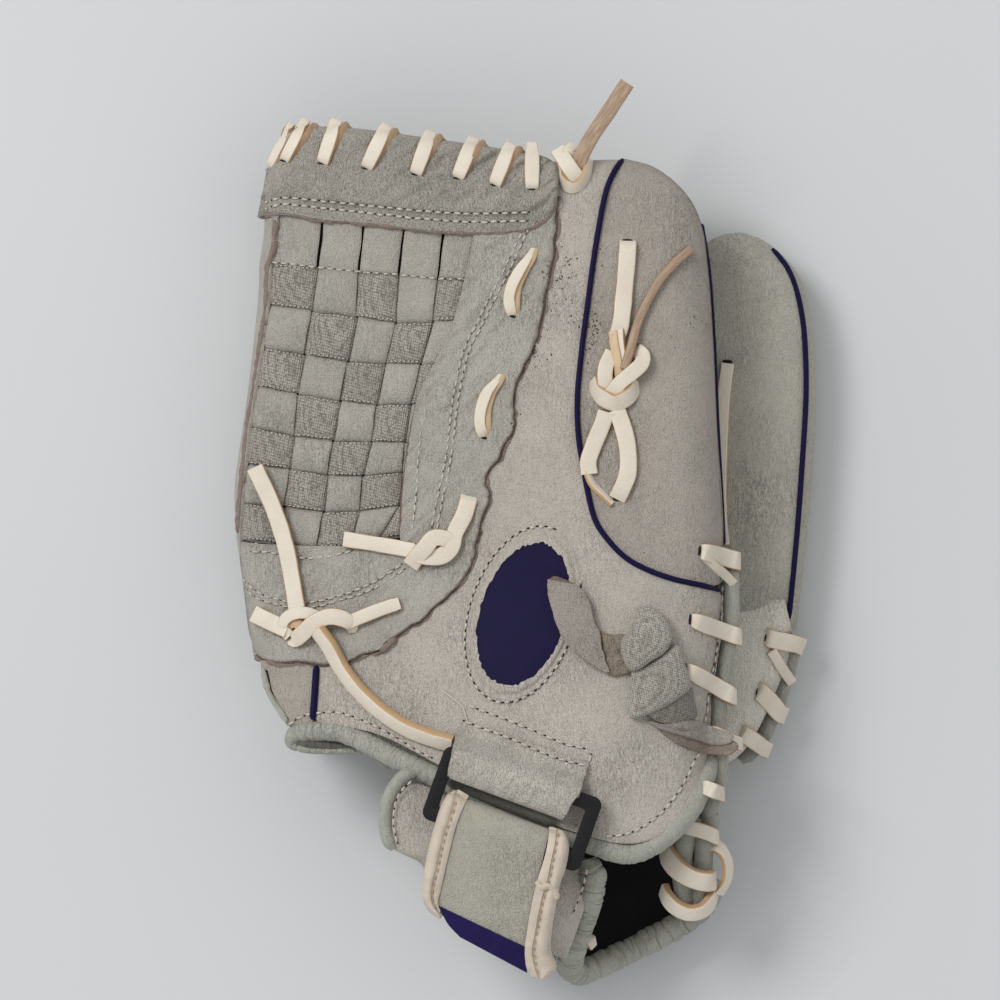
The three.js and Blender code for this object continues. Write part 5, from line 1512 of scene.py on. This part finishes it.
dome("loop_strap_knit_end", ((645, 713), (668, 700), (690, 686), (694, 700), (696, 716), (684, 722), (672, 725),
                             (658, 722)), 0.0030, 0.0006, (shaded_knit, fringe_with_painted_shade, fringe_with_painted_shade))
dome("loop_strap_knit_lower_lobe", ((631, 670), (650, 662), (667, 650), (677, 644), (684, 662), (690, 686), (680, 696),
                                    (667, 705), (649, 713), (630, 717), (629, 696)), 0.0048, 0.0014, KNITS,
     "loop_strap_knit", edge=0.0018, lean=(0.02, 0), crinkle=0.00012)
dome("loop_strap_knit_upper_lobe", ((632, 634), (634, 618), (639, 607), (648, 605), (659, 611), (669, 625), (671, 638),
                                    (665, 651), (650, 661), (632, 671), (623, 660), (620, 645), (624, 635)), 0.0070,
     0.0016, KNITS, edge=0.0020, lean=(0.02, -0.02), crinkle=0.00012)

# Wrist strap.
BAR_OFFSET, BAR_HEIGHT = 0.01115, 0.07515
TAB_BAR_OFFSET = 0.0118
RING_SHORTENING = 0.09


def ring_place(u, v):
    """Plan place in the ring's own directions, in metres: along its bars and towards the pocket."""
    du, dv = np.asarray(u, float) - RING_PLACE[0], np.asarray(v, float) - RING_PLACE[1]
    cos, sin = math.cos(RING_TURN), math.sin(RING_TURN)
    return (du * cos - dv * sin) * PIXEL, (-du * sin - dv * cos) * PIXEL


def flap_top(u, v):
    """Upper face of the strap's flap: it winds over the ring's outer bar and slopes down to its end."""
    x, y = ring_place(u, v)
    out = -BAR_OFFSET - y
    bend = BAR_HEIGHT + 0.0052 * np.sqrt(np.clip(1 - (np.minimum(out, 0) / 0.0088) ** 2, 0, 1))
    share = np.clip(out / 0.035, 0, 1.4)
    return bend - 0.006 * share ** 1.5 - 0.0016 * (x / 0.021) ** 2 + 0.0010


piece = panel("strap_flap_leather", flap_top, (
    (467, 797, 548, 827), (464, 802, 548, 833), (459, 815, 546, 843), (452, 838, 540, 868), (444, 870, 533, 900),
    (438, 904, 526, 948), (440, 912, 526, 966)), 50, 70, 0.0022)
dress(piece, "strap_flap", "strap_flap", cut(flap_leather))
piece = panel("strap_end_ribbon", lambda u, v: flap_top(u, v) + 0.0007, (
    (437, 903, 527, 946), (441, 909, 527, 957), (448, 922, 527, 966), (460, 935, 527, 971)), 50, 16, 0.0012)
dress(piece, "strap_flap", "strap_end_band", [ribbon_weave] * 3)


def tape(name, outer, ridge, inner, node):
    """Folded cream tape on the strap's edge: a rounded outer fold and a flat inner hem, stitched where they meet."""
    outer, ridge, inner = (smooth_line(line, 61) for line in (outer, ridge, inner))

    def where(s, t):
        j = np.rint(t * 60).astype(int)
        across = 2 * s
        fold_share, hem_share = np.clip(across, 0, 1), np.clip(across - 1, 0, 1)
        u, v = np.where((across < 1)[:, None], outer[j] + (ridge[j] - outer[j]) * fold_share[:, None],
                        ridge[j] + (inner[j] - ridge[j]) * hem_share[:, None]).T
        fold = np.sqrt(np.clip(1 - (1 - 2 * fold_share) ** 2, 0, 1))
        lift = np.where(across < 1, -0.0022 + 0.0046 * fold, 0.0016 - 0.0010 * hem_share ** 2)
        lift = np.where((across > 0.86) & (across < 1.14), 0.0008, lift) + 0.00025 * ripple(u, v, 6, 31)
        return points_at(u, v, flap_top(u, v) + lift)

    piece = shaped_grid(name, 28, 60, where)
    face_to(piece, (0, 0, 1))
    thicken(piece, 0.0014, 0)
    dress(piece, "strap_flap", node, [cream_tape] * 3)
    stitching(name + "_stitches", [ridge[2:-2:6]], "strap_flap", flap_top, 0.0014, 7.5, 0.66, 0.0006,
              finish=tan_thread, hole=brown_suede)


tape("strap_left_tape", ((447, 792), (441, 804), (432.5, 832), (423.5, 874), (422.5, 896), (428, 908), (440, 917.5)),
     ((459, 788), (454, 811), (446.5, 833), (439, 866), (434, 887), (434.5, 900), (440, 911)),
     ((469, 794), (459, 816), (451.5, 842), (441, 888), (438.5, 898), (439, 903), (441, 908)), "strap_binding_left")
tape("strap_right_tape",
     ((568, 834), (569, 845), (566, 865), (560, 882), (556.5, 900), (552, 927), (551, 948), (556.5, 966), (547, 976)),
     ((557.5, 827), (555.5, 842), (552, 858), (548, 879), (543, 895), (537, 925), (533, 950), (536, 966), (539, 976)),
     ((549, 825), (547.5, 840), (544, 856), (537.5, 877), (534, 890), (527.5, 925), (524.5, 950), (526.5, 966),
      (531, 974)),
     "strap_binding_right")
raw_rim("strap_tape_tear", ((536, 879), (541, 885), (548, 884), (554, 889), (557, 897)), flap_top, "strap_flap",
        0.0016, 0.0009, 40, cream_tape)


UNDER_STRAP = ((469, 822, 541, 847), (462, 840, 538, 866), (452, 870, 530, 898), (446, 898, 526, 930),
               (452, 912, 520, 944))
PATCH_ROWS = ((462, 848, 530, 872), (455, 876, 524, 902), (452, 894, 520, 924))
for name, rows, drop, body, slot, node, finish in (
        ("strap_under_leather", UNDER_STRAP, 0.0062, "finger_side", "palm_leather", "strap_under", GREENS),
        ("strap_loop_patch", PATCH_ROWS, 0.0050, "finger_side", "lining_fabric", "loop_patch", LININGS),
        ("strap_hook_patch", PATCH_ROWS, 0.0026, "strap_flap", "lining_fabric", "hook_patch", LININGS)):
    piece = panel(name, flap_top, rows, 30, 50, 0.0010, lift=-drop)
    dress(piece, body, node, finish)


def tab_top(u, v):
    """Upper face of the strap's tab: flat on the shell, then over the ring's inner bar."""
    beyond = ring_place(u, v)[1] - TAB_BAR_OFFSET
    flat = thumb_top(u, v) + 0.0016
    over_bar = BAR_HEIGHT + 0.0046 * np.sqrt(np.clip(1 - (np.minimum(beyond, 0) / 0.0098) ** 2, 0, 1))
    share = np.clip(beyond / 0.0100, 0, 1)
    return over_bar * (1 - share ** 2 * (3 - 2 * share)) + flat * share ** 2 * (3 - 2 * share)


piece = panel("strap_tab_leather", tab_top, (
    (462, 718, 588, 762), (460, 727, 586, 771), (455, 740, 582, 784), (451, 756, 573, 801), (448, 769, 565, 814),
    (447, 776, 562, 819)), 90, 60, 0.0020, ragged=(0.3, 1.0),
    relief=lambda u, v: 0.0004 * ripple(u * 0.8 + v * 0.6, (v * 0.8 - u * 0.6) * 0.4, 5, 91))
dress(piece, "thumb_side", "strap_tab", cut(tab_leather))


# The ring is a copy of its solid, merged, shortened along its bars, swelled and rounded.
piece = bpy.data.objects.new("strap_ring_moulded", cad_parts["strap_ring"].data.copy())
bpy.context.scene.collection.objects.link(piece)
piece.data.materials.clear()
piece.data.name = piece.name
merge(piece)
edit(piece, lambda: bpy.ops.mesh.dissolve_limited(angle_limit=math.radians(4)))
ring_points = np.array([v.co for v in piece.data.vertices]) - np.array(ring_middle)
length_way = np.array([math.cos(RING_TURN), math.sin(RING_TURN), 0.0])
ring_points -= np.outer(ring_points @ length_way, length_way) * RING_SHORTENING
piece.data.vertices.foreach_set("co", (ring_points + np.array(ring_middle)).ravel())
apply(piece, "DISPLACE", strength=0.0005, mid_level=0.0)
apply(piece, "BEVEL", width=0.0014, segments=4, limit_method="ANGLE", angle_limit=math.radians(50))
dress(piece, "thumb_side", "strap_ring", [black_plastic])


# Wrist.
PAD_FOOT = 0.056


def ring_hollow(u, v):
    """Depth of the hollow in the wrist pad in which the ring's outer bar lies."""
    x, y = ring_place(u, v)
    return 0.0042 * np.exp(-((y + BAR_OFFSET) / 0.013) ** 2) * np.clip((0.043 - np.abs(x)) / 0.013, 0, 1)


piece = cushion("wrist_pad_leather", (
    (406, 779, 440, 790), (390, 800, 540, 840), (386, 822, 586, 858), (392, 846, 591, 880), (426, 866, 586, 902),
    (438, 896, 577, 928), (455, 920, 566, 958)), PAD_FOOT, 0.0125, 9, ring_hollow)
dress(piece, "finger_side", "wrist_pad", [shell_leather])
pad_edge = ((416, 772), (406, 775), (395, 787), (388, 803), (386, 822), (389, 838), (395, 848), (422, 864), (436, 896),
            (460, 926), (500, 945), (545, 958))
roll("wrist_pad_edge", heel_line(pad_edge[:7], [0.0605] * 7), 0.0027, 120, 20, "wrist_pad_binding", "finger_side",
     uneven=0.03)
wrist_edge = ((588, 858, 0.0600), (593, 874, 0.0600), (590, 898, 0.0570), (580, 928, 0.0500), (572, 956, 0.0400),
              (570, 968, 0.0330), (579, 974, 0.0270), (594, 969, 0.0230), (621, 957, 0.0200), (659, 938, 0.0180),
              (690, 920, 0.0180), (707, 902, 0.0190), (714, 880, 0.0200))
roll("wrist_edge_roll", [point_at(*place) for place in wrist_edge], 0.0048, 760, 24, "wrist_edge_binding",
     "finger_side", uneven=0.03, grooves=0.13)
pad_wall_top = smooth_line(pad_edge[4:], 41)
pad_wall_foot = smooth_line(((394, 818), (402, 840), (424, 862), (446, 905), (500, 946), (556, 964)), 41)


def wall_where(s, t):
    j = np.rint(t * 40).astype(int)
    u, v = (pad_wall_foot[j] + (pad_wall_top[j] - pad_wall_foot[j]) * s[:, None]).T
    return points_at(u, v, LOW_SEAM_HEIGHT + (PAD_FOOT - 0.0004 - LOW_SEAM_HEIGHT) * s)


piece = shaped_grid("wrist_wall_leather", 30, 40, wall_where)
face_to(piece, (-0.5, -1, 0))
thicken(piece, 0.0024)
dress(piece, "finger_side", "wrist_wall", UPPERS)
piece = panel("hand_lining_fabric", finger_back, (
    (500, 790, 698, 790), (490, 850, 704, 850), (505, 900, 704, 885), (545, 940, 690, 920), (570, 962, 640, 950)),
    40, 40, 0.0012, lift=0.0045)
dress(piece, "finger_side", "hand_lining", LININGS)

knot("wrist_lace_inside", [bent_lace(((584, 936, 0.026), (590, 941, 0.030), (593, 948, 0.028)), (0.3, 0.3, 0.9),
                                     (0.0026, 0.0050, 0.0034), 16)], body="finger_side")
under_tab = over(thumb_top, ((446, 776), (470, 786), (500, 799), (530, 810), (556, 820)), 0.0006)
roll("binding_under_tab", under_tab, 0.0030, 80, finish=shaded_binding, uneven=0.03)

# Stitch lines.
PAD_STITCH_HEIGHT = 0.0638
stitching("web_top_stitches", [
    ((263, 203.5), (281, 198), (319, 200.5), (373, 206), (431, 211.7), (482, 213.9), (529, 212.8)),
    ((263, 210), (281, 204.5), (319, 208.5), (373, 214), (431, 220.5), (482, 223), (527, 221.7))],
    "thumb_side", binding_top, pitch=9.5)
# In the web's stitch rows the needle holes take the soil colour, as painted shade in them.
stitching("web_strip_stitches", [((270, 262), (319, 267.5), (359.5, 272), (399.6, 275), (440, 279), (483, 278.6))],
          "thumb_side", web_top, -0.0005, 9.5, width=0.0007, hole=soil)
stitching("web_band_stitches", [
    ((530, 226), (516, 258), (500, 290), (484, 322), (470, 350), (461, 385), (456, 420), (452, 455), (445, 490),
     (437, 531)),
    ((526, 224), (511, 256), (495, 288), (479, 320), (465, 348), (456, 383), (451, 418), (447, 453), (440, 488),
     (432, 527)),
    ((242, 577), (258.7, 592.6), (279.7, 600), (306.5, 603), (337, 596.4), (364, 587), (383, 577), (402, 564)),
    ((241, 583), (257, 598), (279, 605), (307, 608), (338, 601), (366, 592), (386, 582), (405, 569)),
    ((241.5, 551.5), (268, 552.4), (302.7, 558), (325.7, 557), (352.4, 550.5)),
    ((421, 430), (418, 468), (415.6, 506.5), (412.7, 531.4))],
    "thumb_side", web_top, 0.0006, 9.5, width=0.0007, hole=soil)
stitching("shell_stitches", [
    ((288, 726), (299, 718), (312, 714), (337, 712), (352, 716), (368, 722), (384, 730), (400, 739), (418, 750),
     (432, 757)),
    ((468, 704.7), (499.8, 716.5), (538.7, 731.9), (565.8, 743.7), (590.6, 750.7), (588, 763)),
    ((603.6, 834.5), (625, 833), (653, 818), (676.7, 792), (693, 761), (699, 750)),
    ((720, 573), (721, 590), (720, 614), (717, 640), (713, 664), (708, 690), (705, 716), (703, 724))],
    "thumb_side", pitch=10)
stitching("tab_stitches", [((586, 764), (565.8, 760), (543.4, 752), (514, 739), (488, 729.5), (464, 720))],
          "thumb_side", tab_top, 0.0006, 10)
stitching("patch_stitches", [[patch_spot(1.2, angle) for angle in np.linspace(0.95, 0.95 + 1.72 * math.pi, 40)]],
          "thumb_side", thumb_top, 0.0009, stitch=0.55)
stitching("wrist_pad_stitches", [((413, 779), (401, 791), (395, 806), (394, 824), (398, 842))],
          "finger_side", level(PAD_STITCH_HEIGHT), 0)
stitching("wrist_side_stitches", [((587, 866), (584, 882), (577.6, 900.6), (570, 920), (562, 944))],
          "finger_side", lambda u, v: np.interp(v, (860, 950), (0.0672, 0.0606)), 0)

# Soil: each streak is its line on the plan, how far its specks stray in pixels, and their number.
SOIL_STREAKS = (
    ((556, 240, 545, 330), 5, 70), ((540, 330, 520, 395), 6, 50), ((597, 322, 586, 358), 3.5, 90),
    ((592, 262, 588, 330), 5, 60), ((572, 250, 566, 330), 9, 60), ((515, 410, 500, 450), 5, 30),
    ((604, 215, 596, 262), 4, 20), ((694, 300, 690, 330), 4, 16), ((300, 566, 330, 640), 14, 16))
chance = np.random.RandomState(77)
soil_spots = []
for (u0, v0, u1, v1), spread, count in SOIL_STREAKS:
    share = chance.uniform(0, 1, count)
    places = np.stack([u0 + (u1 - u0) * share, v0 + (v1 - v0) * share], 1) + chance.normal(0, spread, (count, 2))
    size = 0.0001 + 0.00024 * chance.uniform(0, 1, count) ** 2.5
    soil_spots.append(np.stack([*places.T, *chance.uniform(-1, 1, (2, count)), size * 1.5, size, size * 0.25,
                                size * 0.1, 0 * size], 1))
grains("soil", np.vstack(soil_spots), "thumb_side", web_top, [soil])

# Folds at the foot of the opening, and a loose thread.
raw_rim("gusset_fold", ((263, 668), (268, 690), (278, 708), (287, 722)), thumb_top, "thumb_side",
        0.0002, 0.0010, 60, binding_leather)
raw_rim("gusset_fold_shade", ((266, 670), (271, 691), (280, 708), (288, 720)), thumb_top, "thumb_side",
        0.0002, 0.0004, 60, painted_hole_shade)
FOLD_ROLL_HEIGHT = 0.046
opening_under = [point_at(u, v, FOLD_ROLL_HEIGHT) for u, v in
                 ((297, 747.5), (308, 750), (330, 751), (356, 751), (374, 757), (390, 768))]
roll("opening_under_roll", opening_under, 0.0012, 120, 12, uneven=0.1)
opening_shade = [(x, y + 0.0020, z - 0.0012) for x, y, z in opening_under]
roll("opening_inner_fold", opening_shade, 0.0024, 80, 12, finish=shaded_binding, uneven=0.1)
roll_end = over(thumb_top, ((302, 735), (294, 736), (289.8, 740), (293.5, 744.5), (303, 745.6)), -0.0045)
roll("opening_roll_end", roll_end, 0.0021, 40, 12)
thread = over(thumb_top, ((442, 690), (452, 697), (463, 707), (466, 716), (469, 724.6)), 0.0006)
dress(tube("loose_thread", thread, 0.0003, 40, 6), "thumb_side", (), [thread_finish])
